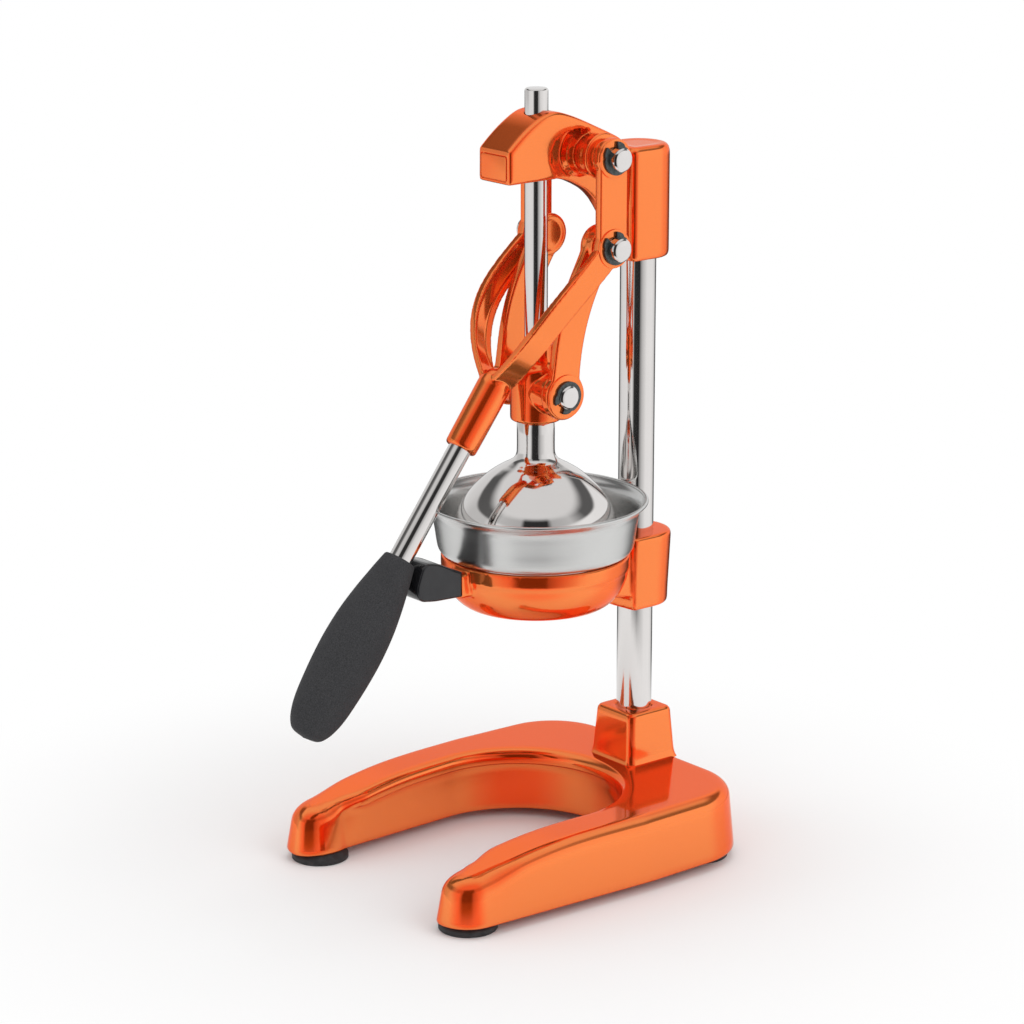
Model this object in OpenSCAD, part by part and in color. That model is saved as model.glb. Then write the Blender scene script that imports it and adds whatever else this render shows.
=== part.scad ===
// Lever citrus juice press: a column stand with a head that guides a vertical plunger.
// A forked hand lever and two links drive the plunger, and its bell presses fruit on a strainer.
// Lengths are in millimetres. X is across the press, -Y is its front and Z is up.

/* [Stand] */
// Distance from the plunger axis back to the column axis
column_gap = 80; // [76:0.5:90]
// Diameter of the column
column_d = 22; // [18:0.5:24]
// Height of the feet under the base casting
foot_h = 6; // [4:0.5:9]
// Diameter of a foot where it meets the casting
foot_top_d = 29; // [24:0.5:31]
// Diameter of a foot on the table
foot_flange_d = 35; // [31:0.5:36]
// Thickness of the straight edge of a foot
foot_edge_h = 3; // [1.5:0.5:3.5]

/* [Base casting] */
// Top of the base casting above the table
base_top_z = 46; // [40:1:56]
// Radius of the round front end of a leg
nub_r = 20.5; // [18:0.5:21.5]
// How far the centre of a leg's front end stands in from the greatest half width
nub_inset = 25.4; // [21:0.2:29]
// Forward distance of a leg's front end from the plunger axis
nub_reach = 111; // [100:1:125]
// Height of a leg's top at its front end, above the table
nub_top_z = 35; // [28:1:40]
// Half of the greatest width of the base
base_half_w = 99; // [95:0.5:105]
// Radius of the rear corners
rear_corner_r = 46; // [38:1:50]
// Distance of the rear corner centres behind the plunger axis
rear_corner_y = 57; // [50:1:62]
// Rounding of the upper edge of the casting
base_round = 8; // [4:0.5:10]
// Radius of the round end of the glass bay
bay_r = 65; // [58:0.5:66]
// Distance of the bay's centre in front of the plunger axis
bay_reach = 14; // [8:1:20]
// How far the bay's upper lip stands in
bay_lip = 2.5; // [1:0.5:4]
// Depth of the bay's upper lip
bay_lip_h = 10; // [6:1:14]
// Height of the column's pedestal top above the table
pedestal_top_z = 77; // [70:1:90]
// Half width of the pedestal at its top
pedestal_top_half = 15; // [14:0.5:17]
// Half width of the pedestal at its foot
pedestal_foot_half = 18.7; // [17:0.1:22]
// Rounding of the pedestal's corners
pedestal_round = 4; // [2:0.5:6]
// Wall left round the pockets under the base
base_wall = 7; // [5:0.5:8]

/* [Cup arm] */
// Height of the ring's upper edge, where the bowl rests
ring_top_z = 196; // [190:1:204]
// Outer radius of the ring
ring_r = 57.5; // [55:0.5:59]
// Depth of the ring's straight upper band
ring_band_h = 10; // [6:1:13]
// Total depth of the ring
ring_h = 33; // [28:1:38]
// Wall of the ring
ring_wall = 4; // [3:0.5:5]
// Outer radius of the ring's bottom edge
ring_foot_r = 43; // [40:0.5:47]
// Radius of the hole in the ring's bottom
ring_hole_r = 34; // [30:0.5:36]
// Half width of the collar on the column at its top
collar_top_half = 20.5; // [18:0.5:23]
// Half width of the collar on the column at its bottom
collar_foot_half = 18.5; // [16.5:0.5:21]
// Height of the collar
collar_h = 43; // [38:1:50]
// Depth of the collar's bottom below the ring's top
collar_drop = 46; // [42:1:50]
// Half width of the web between ring and collar
web_half = 17; // [12:0.5:18]
// Half width of the lug that carries the bumper
lug_half = 8; // [6:0.5:9]
// Height of the lug
lug_h = 15; // [11:1:16]
// Half width of the bumper block
bumper_half = 11; // [10:0.5:14]

/* [Bowl and strainer] */
// How far the bowl's foot stands out past the ring
bowl_overhang = 2; // [1:0.5:3.5]
// How far the bowl's wall spreads from its foot to just below its lip
bowl_spread = 3.5; // [2:0.5:5]
// Width of the bowl's flared lip
bowl_lip_w = 5; // [3:0.5:7]
// Height of the bowl above the ring
bowl_h = 30; // [26:1:34]
// Sheet thickness of the bowl and the strainer
sheet = 1.2; // [0.8:0.1:1.6]
// Inner radius of the juice outlet
outlet_r = 7; // [5:0.5:9]
// Length of the outlet pipe
outlet_h = 12; // [8:1:16]
// How far the foot of the strainer's cone stays inside the bell's rim
cone_inset = 12.5; // [11:0.5:16]
// Height of the strainer's cone
cone_h = 32; // [27:1:34]
// Radius of a strainer hole
drain_r = 1.6; // [1:0.1:2]
// Number of strainer holes in a row
drain_count = 24; // [12:2:30]

/* [Plunger] */
// Diameter of the plunger rod
plunger_d = 14; // [12:0.5:15]
// Height of the plunger rod's top above the table
plunger_top_z = 474; // [468:1:485]
// Chamfer of the plunger rod's top
rod_chamfer = 1.5; // [0.5:0.5:2.5]
// Radius of the bell's neck
bell_neck_r = 11; // [10:0.5:12]
// How far the bell's rim stays inside the ring's outer edge
bell_inset = 8; // [6.5:0.5:10]
// Height of the bell's rim above the ring's top
bell_rim_rise = 10; // [8:0.5:13]
// Length of the bell's straight neck below the hub
bell_neck_h = 21.1; // [18:0.1:24]
// Wall of the bell
bell_wall = 2; // [1.5:0.5:3]
// Radius of the hub's body
hub_r = 15.5; // [14.5:0.5:17]
// Depth of the hub below the lower pins
hub_drop = 19; // [17:0.5:21]
// Height of the hub's body above the lower pins
hub_rise = 15; // [13.5:0.5:18]
// Radius of the hub's upper neck
hub_neck_r = 10; // [9.5:0.5:12]
// Height of the hub's upper neck
hub_neck_h = 13; // [8:1:15]
// Radius of the hub's two side bosses
hub_boss_r = 12.5; // [11:0.5:13]

/* [Linkage] */
// Distance of the upper and middle pins behind the plunger axis
pivot_y = 28.5; // [26:0.5:31]
// Height of the upper pivot above the table
pivot_z = 434; // [431:0.5:437]
// Distance from the upper pin down to the middle pins
crank_length = 53.4; // [51:0.2:56]
// Distance from a middle pin to a lower pin
link_length = 91.5; // [89:0.5:94]
// Diameter of the pins
pin_d = 14; // [12:0.5:15]
// Half of the length over the ends of the upper pin
pin_half = 46.5; // [45.5:0.5:50]
// Chamfer of a pin's end
pin_chamfer = 1.2; // [0.5:0.1:2]
// Inner face of a fork arm, from the middle
fork_inner_x = 32; // [31.5:0.5:34]
// Thickness of a fork arm
fork_arm_t = 5.5; // [4.5:0.5:6]
// Width of a fork arm beside its pins
fork_strap_w = 21; // [18:0.5:23]
// Radius of the fork's round ends
fork_eye_r = 12; // [11:0.5:13]
// Inner face of a link, from the middle
link_inner_x = 22; // [21.5:0.5:23]
// Thickness of a link
link_t = 6; // [5:0.5:6.5]
// Width of a link at its middle
link_w = 20.5; // [16:0.5:22]
// Radius of a link's lower eye
link_eye_r = 14.4; // [13:0.2:15]
// Forward bow of a link at its middle
link_bow = 7; // [4:0.5:9]
// Outer radius of a snap ring
clip_r = 10.2; // [9.5:0.1:10.8]
// Thickness of a snap ring
clip_t = 1.6; // [1.2:0.1:1.8]

/* [Lever] */
// Lean of the lever from the vertical, at rest
lever_tilt = 36.9; // [35.5:0.1:37.5]
// Length of the lever from the middle pin to the tip of the grip
lever_length = 337.5; // [328:0.5:355]
// Distance from the middle pin to the end of the fork's socket
socket_end = 144; // [140:1:150]
// Length of the fork's socket
socket_length = 43; // [36:1:46]
// Radius of the fork's socket
socket_r = 10.2; // [9:0.1:11]
// Diameter of the lever rod
lever_rod_d = 14; // [12:0.5:15]
// Forward bow of a fork arm
fork_bow = 9.6; // [6:0.2:12]
// Width of a fork arm where it meets the socket
fork_root_w = 15; // [13:0.5:17]
// Length of the grip
grip_length = 119; // [110:1:130]
// Greatest radius of the grip
grip_r = 18.8; // [17:0.2:21]
// Radius of the grip's upper end
grip_top_r = 9.8; // [9:0.2:11]
// Radius of the grip's round lower end
grip_end_r = 16.3; // [14.5:0.1:17]

/* [Head casting] */
// Reach of the nose in front of the plunger axis
nose_reach = 32; // [30:0.5:36]
// Half width of the nose and of the head's top
head_half = 15; // [14:0.5:16.5]
// Height of the nose's lower face above the table
nose_floor_z = 421; // [419:0.5:424]
// Height from the nose's lower face to the top of the head
head_rise = 40; // [38:0.5:44]
// Thickness of the head's top above its web
head_cap_t = 8; // [6:0.5:9]
// Half thickness of the web
head_web_half = 5; // [4:0.5:7]
// Half width of the column block
block_half = 18.5; // [17:0.5:20]
// Height of the column block
block_h = 69; // [60:1:75]
// Height of the column block's top above the nose's lower face
block_rise = 13; // [11:0.5:16]
// Reach of the column block in front of the column axis
block_reach = 20; // [18:0.5:21]
// Radius of the pivot boss
boss_r = 12; // [11:0.5:12.5]
// How far the pivot boss stands out past the head's sides
boss_stand = 0.5; // [0:0.5:2]
// Radius of the ridges on the boss and the spacers
ridge_r = 13; // [12:0.5:13.5]
// Wall of the guide bushes
bush_wall = 2.5; // [1.5:0.5:3]
// Length of a guide bush
bush_h = 12; // [10:1:14]

/* [Small parts] */
// Running clearance round a pin or a rod, on the radius
run_gap = 0.05; // [0.02:0.01:0.09]
// Clearance between faces that move past each other
face_gap = 0.4; // [0.3:0.05:0.8]
// Diameter of the column bolt
bolt_d = 10; // [8:1:12]
// Diameter of the set screws
screw_d = 6; // [5:0.5:8]
// Diameter of the foot screws
foot_screw_d = 5; // [4:0.5:6]
// Width of the blank nose plate
plate_w = 23; // [18:0.5:25]
// Height of the blank nose plate
plate_h = 14; // [10:0.5:16]
// Thickness of the blank nose plate
plate_t = 1.5; // [1:0.1:2]

/* [Hidden] */
$fn = 64;

// Colours
orange = [1.0, 0.36, 0.1];
steel = [0.78, 0.78, 0.8];
polished = [0.85, 0.84, 0.84];
dark_steel = [0.2, 0.22, 0.22];
black = [0.12, 0.12, 0.13];
charcoal = [0.25, 0.25, 0.26];
bronze = [0.7, 0.55, 0.3];

// Overrun of every cut
over = 1;
// Thickness of the slices that a hull joins
slice = 0.5;
// Chamfer of the castings' small edges
chamfer = 1;

// Places that follow from the driving sizes
column_r = column_d / 2;
plunger_r = plunger_d / 2;
pin_r = pin_d / 2;
middle_pin_z = pivot_z - crank_length;
lower_pin_z = middle_pin_z - sqrt(pow(link_length, 2) - pow(pivot_y, 2));
grip_start = lever_length - grip_length;
front_y = pivot_y - (lever_length - grip_end_r) * sin(lever_tilt) - grip_end_r;
rear_y = rear_corner_y + rear_corner_r;
stand_y = -(front_y + rear_y) / 2;

// Base casting
// Distance of the widest place behind the plunger axis
base_wide_y = 10;
// Sideways place of the rear corner centres
corner_inset = 1.4;
rear_corner_x = base_half_w - rear_corner_r - corner_inset;
nub_x = base_half_w - nub_inset;
// Rounded upper edge in steps: share of the rounding inwards, share of the rounding downwards
edge_shares = [[0, 1], [0.12, 0.6], [0.4, 0.2], [1, 0]];
// Fall of a leg's top between the bay and its front end: share of the reach, share of the fall
fall_shares = [[0.3, 0], [0.7, 0.36], [1, 1]];
// Draft of the casting's sides
base_draft = 3;
// Place of the rear feet, as shares of the corner's radius from its centre
rear_foot_shares = [0.4, 0.36];
rear_foot_x = rear_corner_x + rear_foot_shares[0] * rear_corner_r;
rear_foot_y = rear_corner_y + rear_foot_shares[1] * rear_corner_r;
// Pockets in the underside: ends along a leg, depth, and radius of the pockets across the rear
pocket_front_share = 0.62;
pocket_rear_share = 0.4;
pocket_depth_share = 0.7;
cross_pocket_share = 0.8;
// Room under the column for the washer and the bolt's head
pocket_r = 17;
pocket_h = 16;
seat_floor = 8;
column_seat_z = foot_h + pocket_h + seat_floor;
washer_r = 14;
washer_t = 2.5;
bolt_head_r = 8.5;
bolt_head_h = 6.4;
bolt_grip = 24;

// Foot
foot_chamfer = 0.5;
foot_recess_r = 6.5;
foot_recess_h = 3.6;
foot_screw_head_r = 5.2;
foot_screw_head_h = 2.6;
foot_screw_reach = 13;

// Cup arm
ring_foot_z = ring_top_z - ring_h;
collar_foot_z = ring_top_z - collar_drop;
lug_top_z = ring_top_z - 5.5;
lug_reach = 7;
lug_front = ring_r + lug_reach;
tenon_half = 5;
tenon_h = 8;
tenon_length = 14;
// Steps of the ring's outline: share of the way in, share of the height under the band
ring_step = 1;
ring_shares = [[0.25, 0.42], [0.55, 0.16]];
ring_inner_step = 2.4;
// Heights of the two set screws on the collar, as shares of its height
collar_screw_shares = [0.3, 0.7];
// Bumper outline: share of its length from the ring forwards, share of its height
bumper_drop = 12.5;
bumper_floor_z = lug_top_z - bumper_drop;
bumper_height = 25;
bumper_shares = [[0, 0], [0, 0.62], [0.1, 0.66], [0.5, 0.93], [0.77, 1], [0.865, 0.9], [0.905, 0.78],
                 [1, 0.42], [0.97, 0.2], [0.88, 0.09], [0.6, 0.03]];

// Length of the bumper from the lug to the grip: share of its height where the grip rests on it,
// and share of the way from the grip's top radius to its greatest there
rest_share = bumper_shares[7][1];
grip_rest_share = 0.4;
rest_drop = middle_pin_z - bumper_floor_z - rest_share * bumper_height;
rest_r = grip_top_r + grip_rest_share * (grip_r - grip_top_r);
bumper_front = rest_drop * tan(lever_tilt) - pivot_y - (rest_r + face_gap) / cos(lever_tilt);
bumper_length = bumper_front - lug_front;
// Height of the bumper's tenon, in the middle of its rear face
tenon_z = bumper_floor_z + bumper_shares[1][1] * bumper_height / 2;

// Bowl and strainer
bowl_foot_r = ring_r + bowl_overhang;
bowl_wall_r = bowl_foot_r + bowl_spread;
bowl_rim_r = bowl_wall_r + bowl_lip_w;
bowl_neck_share = 0.22;
bowl_foot_round = 6;
bell_r = ring_r - bell_inset;
cone_r = bell_r - cone_inset;
// Rounding at the bowl's foot: share inwards, share upwards
foot_shares = [[0, 1], [0.15, 0.42], [0.45, 0.1], [1, 0]];
seat_depth = 3.6;
cone_dish = 2.4;
// Outline of the cone: share of its foot radius, share of its height
cone_shares = [[1, 0.15], [0.8, 0.5], [0.5, 0.85], [0.2, 1]];
// Place of the first row of strainer holes beside the cone, and the step to the next
drain_start = 5.6;
drain_step = 4.8;

// Head
head_length = nose_reach + column_gap;
// Upper outline: share of the head's length from the nose, share of the head's rise
top_shares = [[0, 0.49], [0.065, 0.65], [0.13, 0.79], [0.196, 0.905], [0.25, 0.975], [0.304, 1],
              [0.365, 0.975], [0.467, 0.875], [0.605, 0.705], [0.745, 0.52], [0.79, 0.43], [0.87, 0.28]];
// Lower outline of the web, from the block back to the nose, as above
arch_shares = [[0.87, -0.8], [0.83, -0.7], [0.795, -0.55], [0.75, -0.43], [0.69, -0.35], [0.6, -0.25],
               [0.51, -0.16], [0.4375, -0.08], [0.32, 0]];
// Places along the head where the cap begins, the web begins and the nose ends
cap_start_share = 0.3;
web_start_share = 0.25;
nose_end_share = 0.32;
// Part of the upper outline that covers the web
cap_shares = [for (p = top_shares) if (p[0] >= cap_start_share) p];
// Height of the barrel round the guide bushes, and of their top, in the head's rise
barrel_share = 0.8;
barrel_r = head_half - chamfer / 2;
bush_top_share = 0.775;
plate_z = nose_floor_z + top_shares[0][1] * head_rise / 2 - plate_h / 2;
block_top_z = nose_floor_z + block_rise;
block_corner_r = 3;
block_edge = 3;
// Reach of the pivot boss from the middle
boss_reach = head_half + boss_stand;
// How far the block's upper and lower faces are drawn in, as shares of its edge
block_top_share = 0.7;
block_foot_share = 0.5;
// Share of that inset which the radius of the block's front corners loses
block_corner_share = 0.8;
block_cap_t = 6;
// Heights of the two set screws on the block, as shares of its height
block_screw_shares = [0.25, 0.75];
rod_hole_r = plunger_r + face_gap;
bush_r = plunger_r + run_gap + bush_wall;
bush_top_z = nose_floor_z + bush_top_share * head_rise;
ridge_t = 2;
pivot_washer_t = 4;
washer_gap = 0.3;
spacer_r = 11.5;

// Snap ring
ring_groove_r = pin_r - 1;
ring_gap_half = 2.2;
ring_lug_r = 2;
ring_shift = 0.8;
// Turn of the snap rings' openings, seen along a pin
upper_ring_turn = 202;
lower_ring_turn = -48;

// Links and hub
hub_face_x = link_inner_x - face_gap;
lower_pin_reach = 5;
lower_pin_half = link_inner_x + link_t + lower_pin_reach;
eye_lift = 1;
middle_pin_head_t = 1.5;
middle_pin_head_r = pin_r + middle_pin_head_t;
// Inner end of the pins' blind holes in the hub
hub_wall = 1.5;
hub_pin_x = plunger_r + hub_wall;
hub_screw_r = 2.25;
hub_screw_z = -11;
// Depth of the plunger rod in the bell's neck
neck_depth = 11;
// Faces on the outside of the fork and the links that carry the snap rings
fork_outer_x = fork_inner_x + fork_arm_t + eye_lift;
fork_ring_x = fork_outer_x + washer_gap;
link_ring_x = link_inner_x + link_t + eye_lift + washer_gap;
// Inner end of the washers beside the fork
pivot_washer_x = fork_inner_x - washer_gap - pivot_washer_t;
// Link outline: steps, lean of its centre line and the power that keeps its waist straight
link_steps = 16;
link_angle = atan2(pivot_y, middle_pin_z - lower_pin_z);
link_waist_power = 6;

// Fork arm: run from the middle pin to the socket, rings, edges and channel
arm_run = socket_end - socket_length;
arm_rings = 14;
arm_centre_x = fork_inner_x + fork_arm_t / 2;
arm_lip = 4;
arm_channel_share = 0.45;
arm_channel = fork_arm_t * arm_channel_share;
// Powers of the arm's curves across and forward, and its end beside the middle plane
arm_across_power = 2.7;
arm_forward_power = 1.25;
arm_end_share = 0.6;
// Socket: narrowing towards its end, and its rounded root's height and radius
socket_taper_share = 0.95;
socket_root_share = 0.6;
socket_point_share = 0.7;

// Grip outline: share of its length from the top, share of the way from the top radius to the greatest
grip_shares = [[0, 0], [0.03, 0.1], [0.12, 0.34], [0.25, 0.68], [0.4, 0.94], [0.52, 1], [0.64, 0.97],
               [0.74, 0.87]];

// Bell outline from its neck to its rim: share of the way out, share of the height
bell_shares = [[0.035, 0.82], [0.085, 0.745], [0.18, 0.68], [0.335, 0.6], [0.56, 0.465], [0.8, 0.3],
               [0.935, 0.17], [0.99, 0.08], [1, 0]];
// First point of the bell's outline that has a wall behind it
bell_wall_from = 3;

// Runs a flat outline, drawn as (Y, Z), across X from -half to half
module across(half) {
    rotate([90, 0, 90])
    translate([0, 0, -half])
    linear_extrude(2 * half)
    children();
}

// A round bar along X between two places
module bar_x(x0, x1, r) {
    translate([x0, 0, 0])
    rotate([0, 90, 0])
    cylinder(r = r, h = x1 - x0);
}

// A chamfered pin along X between two places, with the chamfer at its outer end
module pin_x(x0, x1, r, chamfer) {
    bar_x(x0, x1 - chamfer, r);
    translate([x1 - chamfer, 0, 0])
    rotate([0, 90, 0])
    cylinder(r1 = r, r2 = r - chamfer, h = chamfer);
}

// Puts a child on both sides of the middle plane
module both_sides() {
    children();
    mirror([1, 0, 0]) children();
}

// Moves from the plunger axis to the middle of the floor area
module stand_place() {
    translate([0, stand_y, 0]) children();
}

module at_upper_pin() {
    translate([0, stand_y + pivot_y, pivot_z]) children();
}

module at_middle_pin() {
    translate([0, stand_y + pivot_y, middle_pin_z]) children();
}

module at_lower_pin() {
    translate([0, stand_y, lower_pin_z]) children();
}

module at_column() {
    translate([0, stand_y + column_gap, 0]) children();
}

// Local Z runs down the lever, local Y forwards and up from it
module along_lever() {
    at_middle_pin()
    rotate([180 - lever_tilt, 0, 0])
    children();
}

// Snap ring on a pin, with its opening turned to an angle seen from outside
module snap_ring(x, angle) {
    translate([x, 0, 0])
    rotate([angle, 0, 0])
    rotate([0, 90, 0])
    difference() {
        union() {
            translate([-ring_shift, 0, 0]) cylinder(r = clip_r - ring_shift, h = clip_t);
            for (side = [-1, 1])
                translate([clip_r - ring_lug_r, side * (ring_gap_half + ring_lug_r), 0])
                cylinder(r = ring_lug_r + ring_shift, h = clip_t);
        }
        translate([0, 0, -over]) cylinder(r = ring_groove_r + run_gap, h = clip_t + 2 * over);
        translate([0, -ring_gap_half, -over])
        cube([clip_r + ring_lug_r, 2 * ring_gap_half, clip_t + 2 * over]);
    }
}

// One level of the base's outline, drawn in by an inset, between two places along Y
module base_level(z, inset, front) {
    for (side = [-1, 1]) {
        translate([side * rear_corner_x, rear_corner_y, z])
        cylinder(r = rear_corner_r - inset, h = slice, $fn = 48);
        translate([side * (base_half_w - rear_corner_r), base_wide_y, z])
        cylinder(r = rear_corner_r - inset, h = slice, $fn = 32);
        if (front)
            translate([side * nub_x, -nub_reach, z]) cylinder(r = nub_r - inset, h = slice, $fn = 32);
    }
}

// Levels of a leg between the bay and its front end
module leg_level(share, z, inset) {
    for (side = [-1, 1])
        translate([side * nub_x, -nub_reach * share, z]) cylinder(r = nub_r - inset, h = slice, $fn = 32);
}

module base_body() {
    hull() {
        base_level(foot_h, 0, true);
        base_level(base_top_z - base_round - slice,
                   base_draft * (base_top_z - base_round) / base_top_z, false);
        for (e = edge_shares)
            base_level(base_top_z - slice - e[1] * base_round, base_draft + e[0] * base_round, false);
        for (f = fall_shares, e = edge_shares)
            leg_level(f[0],
                      base_top_z - slice - f[1] * (base_top_z - nub_top_z) - e[1] * base_round,
                      base_draft * f[1] + e[0] * base_round);
    }
}

// Plan of the glass bay, left open to the front
module bay_plan(r) {
    difference() {
        union() {
            translate([0, -bay_reach]) circle(r = r, $fn = 96);
            polygon([[-r, -bay_reach], [r, -bay_reach], [r - base_wall / 2, -nub_reach],
                     [nub_x, -nub_reach - nub_r - over], [-nub_x, -nub_reach - nub_r - over],
                     [-r + base_wall / 2, -nub_reach]]);
        }
        for (side = [-1, 1])
            translate([side * nub_x, -nub_reach]) circle(r = nub_r);
    }
}

// A slot-shaped pocket in the underside
module pocket(x0, y0, x1, y1, r, depth) {
    angle = atan2(y1 - y0, x1 - x0);
    span = norm([x1 - x0, y1 - y0]);
    translate([x0, y0, foot_h - over])
    rotate([0, 0, angle]) {
        cylinder(r = r, h = depth + over);
        translate([span, 0, 0]) cylinder(r = r, h = depth + over);
        translate([0, -r, 0]) cube([span, 2 * r, depth + over]);
    }
}

module base_casting() {
    leg_mid_x = (base_half_w + bay_r) / 2 - base_draft / 2;
    leg_pocket_r = (base_half_w - bay_r) / 2 - base_wall;
    cross_pocket_y = rear_corner_y + bay_lip_h + base_wall;
    pocket_depth = (nub_top_z - foot_h) * pocket_depth_share;
    color(orange)
    stand_place()
    difference() {
        union() {
            difference() {
                base_body();
                translate([0, 0, foot_h - over])
                linear_extrude(base_top_z)
                bay_plan(bay_r - bay_lip);
                translate([0, 0, foot_h - over])
                linear_extrude(base_top_z - foot_h - bay_lip_h + over)
                bay_plan(bay_r);
            }
            translate([0, column_gap, 0])
            hull() {
                for (sx = [-1, 1], sy = [-1, 1]) {
                    foot_place = pedestal_foot_half - pedestal_round;
                    top_place = pedestal_top_half - pedestal_round;
                    translate([sx * foot_place, sy * foot_place, base_top_z - base_round])
                    cylinder(r = pedestal_round, h = base_round, $fn = 32);
                    translate([sx * top_place, sy * top_place, pedestal_top_z - chamfer - slice])
                    cylinder(r = pedestal_round, h = slice, $fn = 32);
                    translate([sx * (top_place - chamfer), sy * (top_place - chamfer),
                               pedestal_top_z - slice])
                    cylinder(r = pedestal_round, h = slice, $fn = 32);
                }
            }
        }
        translate([0, column_gap, column_seat_z]) cylinder(r = column_r + run_gap, h = pedestal_top_z);
        translate([0, column_gap, foot_h])
        cylinder(r = bolt_d / 2 + run_gap, h = pedestal_top_z - foot_h - over);
        translate([0, column_gap, foot_h - over]) cylinder(r = pocket_r, h = pocket_h + over);
        for (side = [-1, 1]) {
            pocket(side * leg_mid_x, -nub_reach * pocket_front_share,
                   side * leg_mid_x, rear_corner_y * pocket_rear_share,
                   leg_pocket_r, pocket_depth);
            pocket(side * (pocket_r + base_wall + leg_pocket_r), cross_pocket_y,
                   side * (rear_foot_x - foot_top_d / 2 - leg_pocket_r), cross_pocket_y,
                   leg_pocket_r * cross_pocket_share, pocket_depth);
            for (place = [[nub_x, -nub_reach], [rear_foot_x, rear_foot_y]])
                translate([side * place[0], place[1], foot_h - over])
                cylinder(r = foot_screw_d / 2, h = foot_screw_reach + over);
        }
    }
}

module foot_at(x, y) {
    color(black)
    translate([x, stand_y + y, 0])
    difference() {
        rotate_extrude()
        polygon([[0, 0], [foot_flange_d / 2 - foot_chamfer, 0], [foot_flange_d / 2, foot_chamfer],
                 [foot_flange_d / 2, foot_edge_h], [foot_top_d / 2, foot_h], [0, foot_h]]);
        translate([0, 0, -over]) cylinder(r = foot_recess_r, h = foot_recess_h + over);
        cylinder(r = foot_screw_d / 2 + run_gap, h = foot_h + over);
    }
}

module foot_front_left() {
    foot_at(-nub_x, -nub_reach);
}

module foot_front_right() {
    foot_at(nub_x, -nub_reach);
}

module foot_rear_left() {
    foot_at(-rear_foot_x, rear_foot_y);
}

module foot_rear_right() {
    foot_at(rear_foot_x, rear_foot_y);
}

module foot_screws() {
    color(steel)
    stand_place()
    for (side = [-1, 1], place = [[nub_x, -nub_reach], [rear_foot_x, rear_foot_y]])
        translate([side * place[0], place[1], foot_recess_h]) {
            translate([0, 0, -foot_screw_head_h]) cylinder(r = foot_screw_head_r, h = foot_screw_head_h);
            cylinder(r = foot_screw_d / 2 - run_gap, h = foot_screw_reach);
        }
}

module column_rod() {
    color(polished)
    at_column()
    difference() {
        translate([0, 0, column_seat_z])
        cylinder(r = column_r, h = block_top_z - block_cap_t - column_seat_z);
        translate([0, 0, column_seat_z - over]) cylinder(r = bolt_d / 2, h = bolt_grip + over);
    }
}

module column_washer() {
    color(steel)
    at_column()
    translate([0, 0, foot_h + pocket_h - washer_t])
    difference() {
        cylinder(r = washer_r, h = washer_t);
        translate([0, 0, -over]) cylinder(r = bolt_d / 2 + run_gap, h = washer_t + 2 * over);
    }
}

module column_bolt() {
    head_z = foot_h + pocket_h - washer_t;
    color(steel)
    at_column() {
        translate([0, 0, head_z - bolt_head_h]) cylinder(r = bolt_head_r, h = bolt_head_h, $fn = 6);
        translate([0, 0, head_z - slice])
        cylinder(r = bolt_d / 2 - run_gap, h = column_seat_z + bolt_grip - over - head_z + slice);
    }
}

module ring_shell() {
    rotate_extrude($fn = 96)
    polygon(concat([[ring_r - ring_wall, ring_top_z], [ring_r, ring_top_z],
                    [ring_r, ring_top_z - ring_band_h],
                    [ring_r - ring_step, ring_top_z - ring_band_h - ring_step]],
                   [for (p = ring_shares)
                    [ring_r - p[0] * (ring_r - ring_foot_r), ring_foot_z + p[1] * (ring_h - ring_band_h)]],
                   [[ring_foot_r, ring_foot_z], [ring_hole_r, ring_foot_z],
                    [ring_hole_r, ring_foot_z + ring_wall],
                    [ring_foot_r - ring_wall, ring_foot_z + ring_wall],
                    [ring_r - ring_wall - ring_inner_step, ring_top_z - ring_band_h],
                    [ring_r - ring_wall, ring_top_z - seat_depth - ring_step]]));
}

module collar_level(half, z) {
    translate([0, column_gap, z]) cylinder(r = half, h = slice, $fn = 48);
    for (side = [-1, 1])
        translate([side * (half - pedestal_round), column_gap - block_reach + pedestal_round, z])
        cylinder(r = pedestal_round, h = slice, $fn = 32);
}

// Side view of the bumper's tenon, widened by a clearance
module tenon_side(gap) {
    translate([-lug_front - tenon_length - gap, tenon_z - tenon_h / 2 - gap])
    square([tenon_length + over + gap, tenon_h + 2 * gap]);
}

module cup_arm() {
    color(orange)
    stand_place()
    difference() {
        union() {
            ring_shell();
            hull() {
                collar_level(collar_foot_half - chamfer, collar_foot_z);
                collar_level(collar_foot_half, collar_foot_z + chamfer);
                collar_level(collar_top_half, collar_foot_z + collar_h - chamfer - slice);
                collar_level(collar_top_half - chamfer, collar_foot_z + collar_h - slice);
            }
            difference() {
                across(web_half)
                polygon([[0, ring_foot_z + chamfer], [column_gap, ring_foot_z - ring_wall],
                         [column_gap, ring_top_z - ring_wall], [0, ring_top_z - ring_wall]]);
                translate([0, 0, ring_foot_z - ring_h])
                cylinder(r = ring_r - ring_wall / 2, h = 2 * ring_h + over, $fn = 96);
            }
            across(lug_half)
            polygon([[-ring_r + ring_wall / 2, lug_top_z - lug_h], [-ring_r + ring_wall / 2, lug_top_z],
                     [-lug_front, lug_top_z], [-lug_front, lug_top_z - lug_h]]);
            across(tenon_half) tenon_side(0);
        }
        translate([0, column_gap, collar_foot_z - over])
        cylinder(r = column_r + run_gap, h = collar_h + 2 * over);
        arm_screw_holes(screw_d / 2);
    }
}

// Set screws in the rear of the cup arm's collar, or their holes
module arm_screw_holes(r) {
    for (share = collar_screw_shares)
        translate([0, column_gap, collar_foot_z + share * collar_h])
        rotate([-90, 0, 0])
        cylinder(r = r, h = collar_top_half + over);
}

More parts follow.
